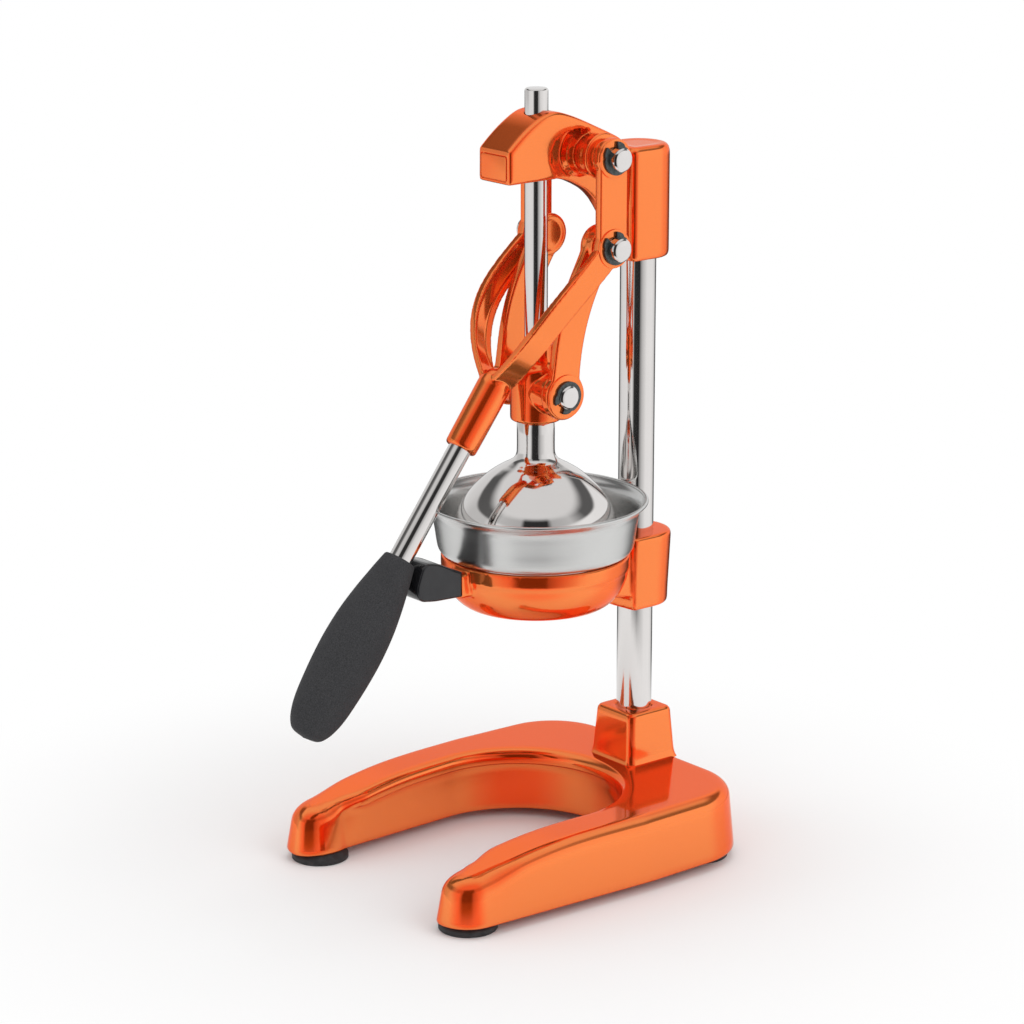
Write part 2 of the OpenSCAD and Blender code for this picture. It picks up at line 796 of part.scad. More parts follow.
module set_screw(r, length) {
    difference() {
        cylinder(r = r, h = length);
        translate([0, 0, length - r]) cylinder(r = r / 2, h = r + over, $fn = 6);
    }
}

module cup_arm_set_screws() {
    color(dark_steel)
    stand_place()
    for (share = collar_screw_shares)
        translate([0, column_gap + column_r + run_gap, collar_foot_z + share * collar_h])
        rotate([-90, 0, 0])
        set_screw(screw_d / 2 - run_gap, collar_foot_half - column_r - chamfer);
}

module bumper_block() {
    color(black)
    stand_place()
    difference() {
        across(bumper_half)
        polygon([for (p = bumper_shares)
                 [-lug_front - p[0] * bumper_length, bumper_floor_z + p[1] * bumper_height]]);
        across(tenon_half + run_gap) tenon_side(run_gap);
    }
}

// The bowl's outline from the rim down its outside and back up its inside
module juice_bowl() {
    rim_z = ring_top_z + bowl_h;
    neck_z = rim_z - bowl_h * bowl_neck_share;
    seat_z = ring_top_z;
    locate_r = ring_r - ring_wall - face_gap;
    locate_z = seat_z - seat_depth;
    funnel_z = ring_foot_z + ring_wall + chamfer;
    inner_round = bowl_foot_round - sheet;
    color(steel)
    stand_place()
    rotate_extrude($fn = 96)
    polygon(concat([[bowl_rim_r, rim_z], [bowl_rim_r, rim_z - sheet], [bowl_wall_r, neck_z]],
                   [for (p = foot_shares)
                    [bowl_foot_r - p[0] * bowl_foot_round, seat_z + p[1] * bowl_foot_round]],
                   [[locate_r, seat_z], [locate_r, locate_z],
                    [outlet_r + sheet, funnel_z], [outlet_r + sheet, funnel_z - outlet_h],
                    [outlet_r, funnel_z - outlet_h], [outlet_r, funnel_z + sheet],
                    [locate_r - sheet, locate_z + sheet], [locate_r - sheet, seat_z + sheet]],
                   [for (i = [len(foot_shares) - 1:-1:0])
                    [bowl_foot_r - sheet - foot_shares[i][0] * inner_round,
                     seat_z + sheet + foot_shares[i][1] * inner_round]],
                   [[bowl_wall_r - sheet, neck_z + sheet / 2], [bowl_rim_r - sheet, rim_z]]));
}

// Perforated strainer with a raised cone that the fruit is pressed on
module strainer_cone() {
    floor_z = ring_top_z + sheet;
    flange_r = bowl_foot_r - bowl_foot_round;
    tip_r = cone_r * cone_shares[len(cone_shares) - 1][0];
    color(steel)
    stand_place()
    difference() {
        rotate_extrude($fn = 96)
        polygon(concat([[flange_r, floor_z], [flange_r, floor_z + sheet],
                        [cone_r + cone_dish, floor_z + sheet]],
                       [for (p = cone_shares) [cone_r * p[0], floor_z + cone_h * p[1]]],
                       [[0, floor_z + cone_h], [0, floor_z + cone_h - sheet],
                        [tip_r - sheet / 2, floor_z + cone_h - sheet]],
                       [for (i = [2, 1]) [cone_r * cone_shares[i][0] - sheet,
                                          floor_z + cone_h * cone_shares[i][1] - sheet]],
                       [[cone_r - sheet, floor_z]]));
        for (row = [0, 1], i = [0:drain_count - 1])
            rotate([0, 0, (i + row / 2) * 360 / drain_count])
            translate([cone_r + drain_start + drain_step * row, 0, floor_z - over])
            cylinder(r = drain_r, h = sheet + 2 * over, $fn = 16);
    }
}

function head_point(share) =
    [-nose_reach + share[0] * head_length, nose_floor_z + share[1] * head_rise];

// Column block with its upper and lower edges drawn in
module block_level(inset, z) {
    translate([0, column_gap, z]) cylinder(r = block_half - inset, h = slice, $fn = 48);
    for (side = [-1, 1])
        translate([side * (block_half - block_corner_r), column_gap - block_reach + block_corner_r, z])
        cylinder(r = block_corner_r - inset * block_corner_share, h = slice, $fn = 24);
}

module head_casting() {
    cap = [for (p = cap_shares) head_point(p)];
    under = [for (i = [len(cap) - 1:-1:0]) [cap[i][0], cap[i][1] - head_cap_t]];
    nose = concat([for (p = top_shares) if (p[0] < nose_end_share) head_point(p)],
                  [head_point([nose_end_share, 0]), head_point([0, 0])]);
    web = concat([for (p = top_shares) if (p[0] >= web_start_share) head_point(p)],
                 [for (p = arch_shares) head_point(p)]);
    color(orange)
    stand_place()
    difference() {
        union() {
            across(head_half) polygon(nose);
            translate([0, 0, nose_floor_z]) cylinder(r = barrel_r, h = head_rise * barrel_share);
            across(head_half) polygon(concat(cap, under));
            across(head_web_half) polygon(web);
            hull() {
                block_level(block_edge * block_foot_share, block_top_z - block_h);
                block_level(0, block_top_z - block_h + block_edge * block_foot_share);
                block_level(0, block_top_z - block_edge - slice);
                block_level(block_edge * block_top_share, block_top_z - slice);
            }
            translate([0, pivot_y, pivot_z]) {
                bar_x(-boss_reach, boss_reach, boss_r);
                both_sides() bar_x(boss_reach - ridge_t, boss_reach, ridge_r);
            }
        }
        translate([0, 0, nose_floor_z - over]) cylinder(r = bush_r, h = bush_top_z - nose_floor_z + over);
        translate([0, 0, nose_floor_z]) cylinder(r = rod_hole_r, h = head_rise + over);
        translate([0, pivot_y, pivot_z]) bar_x(-boss_reach - over, boss_reach + over, pin_r + run_gap);
        translate([0, column_gap, block_top_z - block_h - over])
        cylinder(r = column_r + run_gap, h = block_h + over - block_cap_t);
        translate([-plate_w / 2 - run_gap, -nose_reach - over, plate_z - run_gap])
        cube([plate_w + 2 * run_gap, plate_t / 2 + over, plate_h + 2 * run_gap]);
        for (share = block_screw_shares)
            translate([0, column_gap, block_top_z - block_h + share * block_h])
            rotate([-90, 0, 0])
            cylinder(r = screw_d / 2, h = block_half + over);
    }
}

module nose_plate() {
    color(orange)
    stand_place()
    translate([-plate_w / 2, -nose_reach - plate_t / 2, plate_z])
    cube([plate_w, plate_t, plate_h]);
}

module head_set_screws() {
    color(dark_steel)
    stand_place()
    for (share = block_screw_shares)
        translate([0, column_gap + column_r + run_gap, block_top_z - block_h + share * block_h])
        rotate([-90, 0, 0])
        set_screw(screw_d / 2 - run_gap, block_half - column_r - chamfer);
}

module guide_bush(z) {
    color(bronze)
    stand_place()
    translate([0, 0, z])
    difference() {
        cylinder(r = bush_r, h = bush_h);
        translate([0, 0, -over]) cylinder(r = plunger_r + run_gap, h = bush_h + 2 * over);
    }
}

module guide_bush_upper() {
    guide_bush(bush_top_z - bush_h);
}

module guide_bush_lower() {
    guide_bush(nose_floor_z);
}

// Groove for the snap ring, as the pin's profile
module grooved_pin(x0, x1, groove_x) {
    difference() {
        pin_x(x0, x1, pin_r, pin_chamfer);
        difference() {
            bar_x(groove_x, groove_x + clip_t, pin_r + over);
            bar_x(groove_x - over, groove_x + clip_t + over, ring_groove_r);
        }
    }
}

module upper_pin() {
    color(polished)
    at_upper_pin()
    both_sides() grooved_pin(0, pin_half, fork_ring_x);
}

module upper_pin_rings() {
    color(dark_steel)
    at_upper_pin()
    both_sides() snap_ring(fork_ring_x, upper_ring_turn);
}

// Ridged distance pieces between the head's boss and the washers
module pivot_spacers() {
    spacer_end = pivot_washer_x;
    color(orange)
    at_upper_pin()
    both_sides()
    difference() {
        union() {
            bar_x(boss_reach, spacer_end, spacer_r);
            bar_x((boss_reach + spacer_end) / 2, (boss_reach + spacer_end) / 2 + ridge_t, ridge_r);
            bar_x(spacer_end - ridge_t, spacer_end, ridge_r);
        }
        bar_x(boss_reach - over, spacer_end + over, pin_r + run_gap);
    }
}

module pivot_washers() {
    color(orange)
    at_upper_pin()
    both_sides()
    difference() {
        bar_x(pivot_washer_x, pivot_washer_x + pivot_washer_t, boss_r);
        bar_x(pivot_washer_x - over, fork_inner_x, pin_r + run_gap);
    }
}

// Fork arm as a swept channel: its place across and forward, and its width, at a share of its run
function arm_x(u) = arm_centre_x * (1 - pow(u, arm_across_power)) + fork_arm_t * arm_end_share * u;
function arm_n(u) = fork_bow * sin(180 * pow(u, arm_forward_power));
function arm_w(u) = fork_strap_w + (fork_root_w - fork_strap_w) * u;
function arm_ring(u) =
    let (x = arm_x(u), n = arm_n(u), s = arm_run * u, h = arm_w(u) / 2, t = fork_arm_t / 2)
    [[x + t, n - h + t, s], [x + t, n + h - t, s], [x, n + h, s], [x - t, n + h - t / 2, s],
     [x - t, n - h + t / 2, s], [x, n - h, s]];
function channel_ring(u) =
    let (x = arm_x(u), n = arm_n(u), s = arm_run * u, h = arm_w(u) / 2 - arm_lip, t = fork_arm_t / 2)
    [[x - t + arm_channel, n - h + arm_channel, s], [x - t + arm_channel, n + h - arm_channel, s],
     [x - t - over, n + h, s], [x - t - over, n - h, s]];

// A closed solid through a row of convex rings, each one running anticlockwise seen from its far end
module sweep(rings) {
    count = len(rings[0]);
    last = (len(rings) - 1) * count;
    sides = [for (i = [0:len(rings) - 2], j = [0:count - 1])
             let (a = i * count + j, b = i * count + (j + 1) % count)
             each [[a, b + count, b], [a, a + count, b + count]]];
    start = [for (j = [1:count - 2]) [0, j, j + 1]];
    finish = [for (j = [1:count - 2]) [last, last + j + 1, last + j]];
    polyhedron([for (ring = rings) each ring], concat(start, sides, finish));
}

module fork_arm() {
    difference() {
        sweep([for (i = [0:arm_rings]) arm_ring(i / arm_rings)]);
        sweep([for (i = [2:arm_rings - 3]) channel_ring(i / arm_rings)]);
    }
}

module lever_fork() {
    root_h = socket_r * socket_root_share;
    end_r = socket_r * socket_taper_share;
    color(orange)
    difference() {
        union() {
            at_middle_pin()
            both_sides() {
                translate([fork_inner_x, -fork_strap_w / 2, 0])
                cube([fork_arm_t, fork_strap_w, crank_length]);
                for (z = [0, crank_length])
                    translate([0, 0, z]) {
                        bar_x(fork_inner_x, fork_inner_x + fork_arm_t, fork_eye_r);
                        bar_x(fork_inner_x, fork_outer_x, fork_eye_r - eye_lift);
                    }
            }
            along_lever() {
                both_sides() fork_arm();
                translate([0, 0, arm_run - root_h])
                cylinder(r1 = socket_r * socket_point_share, r2 = socket_r, h = root_h);
                translate([0, 0, arm_run]) cylinder(r1 = socket_r, r2 = end_r, h = socket_length - chamfer);
                translate([0, 0, socket_end - chamfer])
                cylinder(r1 = end_r, r2 = end_r - chamfer, h = chamfer);
            }
        }
        at_middle_pin() bar_x(-pin_half, pin_half, pin_r);
        at_upper_pin() bar_x(-pin_half, pin_half, pin_r + run_gap);
        along_lever()
        translate([0, 0, arm_run + chamfer]) cylinder(r = lever_rod_d / 2, h = socket_length);
    }
}

module lever_rod() {
    color(polished)
    along_lever()
    translate([0, 0, arm_run + chamfer])
    cylinder(r = lever_rod_d / 2, h = lever_length - grip_end_r - arm_run - chamfer);
}

module lever_grip() {
    body_r = grip_r - grip_top_r;
    end_centre = grip_length - grip_end_r;
    color(charcoal)
    along_lever()
    translate([0, 0, grip_start])
    difference() {
        union() {
            rotate_extrude()
            polygon(concat([[0, 0]],
                           [for (p = grip_shares) [grip_top_r + p[1] * body_r, p[0] * grip_length]],
                           [[grip_end_r, end_centre], [0, end_centre]]));
            translate([0, 0, end_centre]) sphere(r = grip_end_r);
        }
        translate([0, 0, -over]) cylinder(r = lever_rod_d / 2, h = end_centre + over);
    }
}

module middle_pins() {
    inner = link_inner_x - middle_pin_head_t;
    color(polished)
    at_middle_pin()
    both_sides() {
        grooved_pin(inner, pin_half, fork_ring_x);
        bar_x(inner, link_inner_x - run_gap, middle_pin_head_r);
    }
}

module middle_pin_rings() {
    color(dark_steel)
    at_middle_pin()
    both_sides() snap_ring(fork_ring_x, upper_ring_turn);
}

// A link's centre line from the middle pin to the lower pin, bowed forwards, and its width
function link_width(u) = link_w + (2 * fork_eye_r - link_w) * pow(2 * u - 1, link_waist_power);
function link_edge(u, side) =
    let (run = u * link_length, off = -link_bow * sin(180 * u) + side * link_width(u) / 2)
    [-run * sin(link_angle) + off * cos(link_angle), -run * cos(link_angle) - off * sin(link_angle)];

module link_plate() {
    boss_end = fork_inner_x - face_gap;
    at_middle_pin()
    difference() {
        union() {
            translate([link_inner_x, 0, 0])
            rotate([90, 0, 90])
            linear_extrude(link_t)
            polygon(concat([for (i = [0:link_steps]) link_edge(i / link_steps, 1)],
                           [for (i = [link_steps:-1:0]) link_edge(i / link_steps, -1)]));
            bar_x(link_inner_x, boss_end, fork_eye_r);
            translate([0, -pivot_y, lower_pin_z - middle_pin_z]) {
                bar_x(link_inner_x, link_inner_x + link_t, link_eye_r);
                bar_x(link_inner_x, link_inner_x + link_t + eye_lift, link_eye_r - eye_lift);
            }
        }
        bar_x(link_inner_x - over, boss_end + over, pin_r + run_gap);
        translate([0, -pivot_y, lower_pin_z - middle_pin_z])
        bar_x(link_inner_x - over, link_inner_x + link_t + 2 * over, pin_r);
    }
}

module link_right() {
    color(orange)
    link_plate();
}

module link_left() {
    color(orange)
    mirror([1, 0, 0]) link_plate();
}

module lower_pin_ends() {
    color(polished)
    at_lower_pin()
    both_sides() grooved_pin(link_inner_x, lower_pin_half, link_ring_x);
}

module lower_pin_rings() {
    color(dark_steel)
    at_lower_pin()
    both_sides() snap_ring(link_ring_x, lower_ring_turn);
}

module plunger_hub() {
    color(orange)
    at_lower_pin()
    difference() {
        union() {
            translate([0, 0, -hub_drop]) cylinder(r1 = hub_r - chamfer, r2 = hub_r, h = chamfer);
            translate([0, 0, -hub_drop + chamfer])
            cylinder(r = hub_r, h = hub_drop + hub_rise - 2 * chamfer);
            translate([0, 0, hub_rise - chamfer])
            cylinder(r1 = hub_r, r2 = hub_neck_r, h = hub_r - hub_neck_r);
            translate([0, 0, hub_rise]) cylinder(r = hub_neck_r, h = hub_neck_h);
            bar_x(-hub_face_x, hub_face_x, hub_boss_r);
        }
        translate([0, 0, -hub_drop - over])
        cylinder(r = plunger_r, h = hub_drop + hub_rise + hub_neck_h + 2 * over);
        both_sides() bar_x(hub_pin_x, hub_face_x + over, pin_r);
        translate([0, 0, hub_screw_z])
        rotate([-90, 0, 0])
        cylinder(r = hub_screw_r, h = hub_r + over);
    }
}

module hub_pins() {
    color(polished)
    at_lower_pin()
    both_sides() bar_x(hub_pin_x, hub_face_x, pin_r);
}

module hub_set_screw() {
    color(dark_steel)
    at_lower_pin()
    translate([0, plunger_r + run_gap, hub_screw_z])
    rotate([-90, 0, 0])
    set_screw(hub_screw_r - run_gap, hub_r - plunger_r - chamfer);
}

module plunger_rod() {
    bottom_z = lower_pin_z - hub_drop - neck_depth;
    color(polished)
    stand_place() {
        translate([0, 0, bottom_z]) cylinder(r = plunger_r, h = plunger_top_z - rod_chamfer - bottom_z);
        translate([0, 0, plunger_top_z - rod_chamfer])
        cylinder(r1 = plunger_r, r2 = plunger_r - rod_chamfer, h = rod_chamfer);
    }
}

module press_bell() {
    rim_z = ring_top_z + bell_rim_rise;
    neck_top_z = lower_pin_z - hub_drop;
    bell_h = (neck_top_z - bell_neck_h - rim_z) / bell_shares[0][1];
    spread = bell_r - bell_neck_r;
    outside = [for (p = bell_shares) [bell_neck_r + p[0] * spread, rim_z + p[1] * bell_h]];
    inner_h = bell_h - bell_wall;
    inside = [for (i = [len(bell_shares) - 1:-1:bell_wall_from])
              [bell_neck_r + bell_shares[i][0] * spread - bell_wall, rim_z + bell_shares[i][1] * inner_h]];
    color(polished)
    stand_place()
    difference() {
        rotate_extrude($fn = 96)
        polygon(concat([[0, neck_top_z], [bell_neck_r, neck_top_z]], outside, inside,
                       [[0, rim_z + bell_shares[bell_wall_from][1] * inner_h + bell_wall]]));
        translate([0, 0, neck_top_z - neck_depth]) cylinder(r = plunger_r, h = neck_depth + over);
    }
}

base_casting();
foot_front_left();
foot_front_right();
foot_rear_left();
foot_rear_right();
foot_screws();
column_rod();
column_bolt();
column_washer();
cup_arm();
cup_arm_set_screws();
bumper_block();
juice_bowl();
strainer_cone();
head_casting();
head_set_screws();
nose_plate();
guide_bush_upper();
guide_bush_lower();
upper_pin();
upper_pin_rings();
pivot_spacers();
pivot_washers();
lever_fork();
lever_rod();
lever_grip();
middle_pins();
middle_pin_rings();
link_left();
link_right();
lower_pin_ends();
lower_pin_rings();
plunger_hub();
hub_pins();
hub_set_screw();
plunger_rod();
press_bell();
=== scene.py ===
"""Looks of the lever citrus juice press: enamelled castings, plated rods and a sheet steel bowl.

Shapes are worked out in millimetres from the plunger's axis, with X across the press, -Y its
front and Z up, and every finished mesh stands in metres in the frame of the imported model.
"""

import math

import bmesh
import bpy
import numpy as np
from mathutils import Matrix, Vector


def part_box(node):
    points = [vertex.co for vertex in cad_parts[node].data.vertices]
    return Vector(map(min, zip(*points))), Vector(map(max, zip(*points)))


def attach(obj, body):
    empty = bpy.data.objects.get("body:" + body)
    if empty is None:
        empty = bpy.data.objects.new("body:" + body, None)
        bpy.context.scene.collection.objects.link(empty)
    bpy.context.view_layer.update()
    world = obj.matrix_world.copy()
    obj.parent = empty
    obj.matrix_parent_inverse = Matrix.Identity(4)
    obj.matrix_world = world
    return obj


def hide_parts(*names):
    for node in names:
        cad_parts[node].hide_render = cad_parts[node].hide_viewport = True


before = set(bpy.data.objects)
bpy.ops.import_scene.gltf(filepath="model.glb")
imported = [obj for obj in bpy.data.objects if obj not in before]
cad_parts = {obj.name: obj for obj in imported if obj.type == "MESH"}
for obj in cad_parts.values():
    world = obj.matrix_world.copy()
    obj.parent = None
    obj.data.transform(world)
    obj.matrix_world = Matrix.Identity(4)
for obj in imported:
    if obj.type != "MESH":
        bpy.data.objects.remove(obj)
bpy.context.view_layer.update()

bl_info = {
    "name": "Citrus press looks",
    "version": (1, 0, 0),
    "blender": (4, 5, 0),
    "location": "View3D > Sidebar > Press",
    "description": "Visible pieces, finishes and studio of a lever citrus press",
    "category": "Object",
}

MM = 0.001
ROD_LOW, ROD_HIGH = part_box("plunger_rod")
AXIS_Y = (ROD_LOW.y + ROD_HIGH.y) / 2 / MM


def span(node):
    """Lowest and highest corner of a CAD node in millimetres from the plunger's axis."""
    low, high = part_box(node)
    shift = np.array([0.0, AXIS_Y, 0.0])
    return np.array(low) / MM - shift, np.array(high) / MM - shift


def middle(node):
    """Centre of a CAD node, measured as its corners are."""
    low, high = span(node)
    return (low + high) / 2


# Places of the frame, in millimetres from the plunger's axis
COLUMN_Y = float(middle("column_rod")[1])
COLUMN_R = float(span("column_rod")[1][0])
PIN_R = float((span("upper_pin")[1][2] - span("upper_pin")[0][2]) / 2)
PIN_END = float(span("upper_pin")[1][0])
LOWER_PIN_END = float(span("lower_pin_ends")[1][0])
PIVOT_Y = float(middle("upper_pin")[1])
PIVOT_Z = float(middle("upper_pin")[2])
MIDDLE_Z = float(middle("middle_pins")[2])
LOWER_Z = float(middle("lower_pin_ends")[2])

# Sizes that several pieces share, in millimetres
LEVER_LEAN = 36.9  # degrees forwards from straight down
ROD_R = 7  # rods of the plunger and the lever
RING_T = 1.6  # thickness of the snap rings
BORE_GAP = 0.05  # between a rod or pin and the bore round it
SLEEVE_R = 7.06  # bore of the loose sleeves on the upper pin
FORK_X = (32, 37.5)  # inner and outer face of the fork
FORK_GROOVE = 38.8  # where the snap rings beside the fork start
LINK_X = (22, 28)  # inner and outer face of the links
LINK_GROOVE = 29.3  # where the snap rings beside the links start
FOOT_H = 6  # height of the rubber under the base
TOE_X, TOE_Y, TOE_R = 73.6, -111, 20.5  # front circle of each leg
HEEL_X, HEEL_Y = 70, 73.6  # rear feet
BAY_Y, BAY_R = -14, 65  # bay for the glass
BASE_TOP = 46
RING_R, RING_TOP, RING_FOOT = 57.5, 193, 160.6  # ring under the bowl
NOSE_Y, NOSE_Z = -32.0, 421  # front and lower edge of the head's nose
PLATE_Z = 430.6  # middle of the nose plate
HEAD_LOW, HEAD_HIGH = 365, 434  # column block of the head


# Curves

def smooth_path(points, count):
    """Curve through the points, each span a cubic whose slope at a point is half the step
    between that point's two neighbours."""
    p = np.asarray(points, float)
    p = np.vstack([2 * p[0] - p[1], p, 2 * p[-1] - p[-2]])
    t = np.linspace(0, len(points) - 1, count)
    i = np.minimum(t.astype(int), len(points) - 2)
    f = (t - i)[:, None]
    a, b, c, d = p[i], p[i + 1], p[i + 2], p[i + 3]
    return 0.5 * (2 * b + (c - a) * f + (2 * a - 5 * b + 4 * c - d) * f ** 2
                  + (3 * b - a - 3 * c + d) * f ** 3)


def round_corners(points, radius, steps=6):
    """Closed outline whose corners become short parabolas: from one side of the corner to the
    other, the corner itself pulls the curve. radius is one length, or one for each corner."""
    p = np.asarray(points, float)
    before, after = np.roll(p, 1, 0) - p, np.roll(p, -1, 0) - p
    lb, la = np.linalg.norm(before, axis=1), np.linalg.norm(after, axis=1)
    reach = np.minimum(np.broadcast_to(radius, len(p)), 0.48 * np.minimum(lb, la))
    start = p + before * (reach / lb)[:, None]
    end = p + after * (reach / la)[:, None]
    f = np.linspace(0, 1, steps)[None, :, None]
    curve = (1 - f) ** 2 * start[:, None] + 2 * f * (1 - f) * p[:, None] + f ** 2 * end[:, None]
    return curve.reshape(-1, 2)


def resample(points, count, closed=True):
    """Points at equal steps of length along a line."""
    p = np.vstack([points, points[:1]]) if closed else np.asarray(points)
    run = np.r_[0, np.cumsum(np.linalg.norm(np.diff(p, axis=0), axis=1))]
    at = np.linspace(0, run[-1], count, endpoint=not closed)
    return np.stack([np.interp(at, run, p[:, k]) for k in range(p.shape[1])], 1)


def hull_outline(circles, count=240):
    """Belt round circles (x, y, r): in each direction the circle that reaches furthest gives
    its centre plus its radius in that direction."""
    c = np.asarray(circles, float)
    a = np.linspace(0, 2 * np.pi, 2880, endpoint=False)
    u = np.stack([np.cos(a), np.sin(a)], 1)
    best = np.argmax(u @ c[:, :2].T + c[:, 2], axis=1)
    return resample(c[best, :2] + c[best, 2:] * u, count)


def circle(x, y, r, count=96):
    """Circle: centre plus radius times cosine and sine of the angle."""
    a = np.linspace(0, 2 * np.pi, count, endpoint=False)
    return np.stack([x + r * np.cos(a), y + r * np.sin(a)], 1)


def anticlockwise(outline):
    """The outline in the order that keeps its inside on the left, by the sign of its area."""
    x, y = outline[:, 0], outline[:, 1]
    area = np.sum(x * np.roll(y, -1) - y * np.roll(x, -1))
    return outline if area > 0 else outline[::-1]


def inset(outline, depth):
    """Outline moved inwards: each point goes along the left normal of the line through its two
    neighbours, by the depth."""
    run = np.roll(outline, -1, 0) - np.roll(outline, 1, 0)
    run /= np.maximum(np.linalg.norm(run, axis=1), 1e-9)[:, None]
    normal = np.stack([-run[:, 1], run[:, 0]], 1)
    return outline + normal * np.broadcast_to(depth, len(outline))[:, None]


# Surfaces

def skin(grid, loop=False, caps=False):
    """Part (points, faces) over a grid of closed rings, with a four-sided face between each two
    neighbours on each two neighbouring rings. loop joins the last ring to the first, and caps
    close both ends with one flat face."""
    rings, count = grid.shape[:2]
    i = np.arange(rings if loop else rings - 1)[:, None]
    j = np.arange(count)[None, :]
    nxt, side = (i + 1) % rings, (j + 1) % count
    quads = np.stack([i * count + j, i * count + side, nxt * count + side, nxt * count + j], -1)
    faces = quads.reshape(-1, 4).tolist()
    if caps:
        faces += [list(range(count))[::-1], list(range((rings - 1) * count, rings * count))]
    return grid.reshape(-1, 3), faces


def turn(profile, count=192, loop=False):
    """Surface of revolution: the profile point (r, z) at angle a stands at r cos a, r sin a, z."""
    p = np.asarray(profile, float)
    a = np.linspace(0, 2 * np.pi, count, endpoint=False)
    grid = np.stack([p[:, :1] * np.cos(a), p[:, :1] * np.sin(a), p[:, 1:] + 0 * a], -1)
    return skin(grid, loop=loop)


def stack(outline, levels, centre=(0, 0)):
    """Loft of one outline: level (z, d) is the outline drawn in by d at height z."""
    o = anticlockwise(np.asarray(outline, float))
    grid = np.stack([np.column_stack([inset(o, d), np.full(len(o), z)]) for z, d in levels])
    grid[:, :, 0] += centre[0]
    grid[:, :, 1] += centre[1]
    return skin(grid, caps=True)


def slab(outline, low, high, edge=1.0, steps=5):
    """Plate between two heights whose edges are quarter circles of the given radius."""
    a = np.linspace(0, np.pi / 2, steps)
    down = [(low + edge * (1 - math.sin(t)), edge * (1 - math.cos(t))) for t in a[::-1]]
    up = [(low + high - z, d) for z, d in down[::-1]]
    return stack(outline, down + up)


def fused(*parts):
    """Several parts as one."""
    points, faces, start = [], [], 0
    for p, f in parts:
        points.append(p)
        faces += [[start + k for k in face] for face in f]
        start += len(p)
    return np.vstack(points), faces


def moved(part, x=0.0, y=0.0, z=0.0):
    """A part at another place."""
    return part[0] + np.array([x, y, z]), part[1]


def image(part):
    """The mirror image of a part in the middle plane, with its faces turned over."""
    return part[0] * np.array([-1.0, 1.0, 1.0]), [face[::-1] for face in part[1]]


def mirrored(part):
    """A part and its mirror image."""
    return fused(part, image(part))


def across(part, y=0.0, z=0.0):
    """Local Z is laid along X, local X along Y and local Y along Z."""
    p = part[0]
    return np.stack([p[:, 2], p[:, 0] + y, p[:, 1] + z], 1), part[1]


def down_lever(part):
    """Local Z runs down the lever from the middle pin, and local Y forwards and up from it."""
    lean = math.radians(LEVER_LEAN)
    along = np.array([0, -math.sin(lean), -math.cos(lean)])
    out = np.array([0, -math.cos(lean), math.sin(lean)])
    p = part[0]
    place = np.array([0, PIVOT_Y, MIDDLE_Z])
    return place + p[:, :1] * np.array([1.0, 0, 0]) + p[:, 1:2] * out + p[:, 2:] * along, part[1]


# Meshes

def raw_mesh(name, part):
    """Mesh in metres with its doubles merged and its faces turned outwards."""
    points = (part[0] + np.array([0, AXIS_Y, 0])) * MM
    mesh = bpy.data.meshes.new(name)
    mesh.from_pydata(points.tolist(), [], part[1])
    work = bmesh.new()
    work.from_mesh(mesh)
    bmesh.ops.remove_doubles(work, verts=work.verts, dist=1e-6)
    bmesh.ops.dissolve_degenerate(work, dist=1e-7, edges=work.edges)
    bmesh.ops.recalc_face_normals(work, faces=work.faces)
    work.to_mesh(mesh)
    work.free()
    return mesh


def settle(obj, body, slot, nodes, angle):
    """Shading, finish, body and the nodes that the piece stands for."""
    obj.data.shade_smooth()
    obj.data.set_sharp_from_angle(angle=math.radians(angle))
    obj.data.materials.clear()
    obj.data.materials.append(finish(slot))
    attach(obj, body)
    if nodes:
        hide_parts(*nodes)


def add_object(name, data):
    """New object of a mesh, a lamp or a camera in the scene."""
    obj = bpy.data.objects.new(name, data)
    bpy.context.scene.collection.objects.link(obj)
    return obj


def crisp(name, part, body, slot, nodes=(), angle=32):
    """Machined, pressed or moulded piece, shown as it is worked out."""
    settle(add_object(name, raw_mesh(name, part)), body, slot, nodes, angle)


def cast(name, part, cuts, body, slot, nodes, step, passes):
    """Casting: overlapping closed parts become one skin on a fine grid of cells, whose corners
    then relax into soft fillets, more with each pass. cuts are machined out of it afterwards."""
    work = add_object(name + "_work", raw_mesh(name + "_work", part))
    fuse = work.modifiers.new("fuse", "REMESH")
    fuse.mode = "VOXEL"
    fuse.voxel_size = step
    relax = work.modifiers.new("relax", "SMOOTH")
    relax.factor = 0.5
    relax.iterations = passes
    tools = []
    for number, cut in enumerate(cuts):
        tool = add_object("tool_%d" % number, raw_mesh("tool_%d" % number, cut))
        carve = work.modifiers.new("carve_%d" % number, "BOOLEAN")
        carve.operation = "DIFFERENCE"
        carve.solver = "EXACT"
        carve.object = tool
        tools.append(tool)
    bpy.context.view_layer.update()
    graph = bpy.context.evaluated_depsgraph_get()
    mesh = bpy.data.meshes.new_from_object(work.evaluated_get(graph))
    mesh.name = name
    for tool in [work] + tools:
        old = tool.data
        bpy.data.objects.remove(tool)
        bpy.data.meshes.remove(old)
    settle(add_object(name, mesh), body, slot, nodes, 40)


# Finishes

def add_node(tree, kind, inputs=None, **options):
    """New node of a tree. options are its own settings; inputs gives, by a socket's name or
    number, a plain value or the output of another node."""
    node = tree.nodes.new("ShaderNode" + kind)
    for key, value in options.items():
        setattr(node, key, value)
    for key, value in (inputs or {}).items():
        if isinstance(value, bpy.types.NodeSocket):
            tree.links.new(value, node.inputs[key])
        else:
            node.inputs[key].default_value = value
    return node


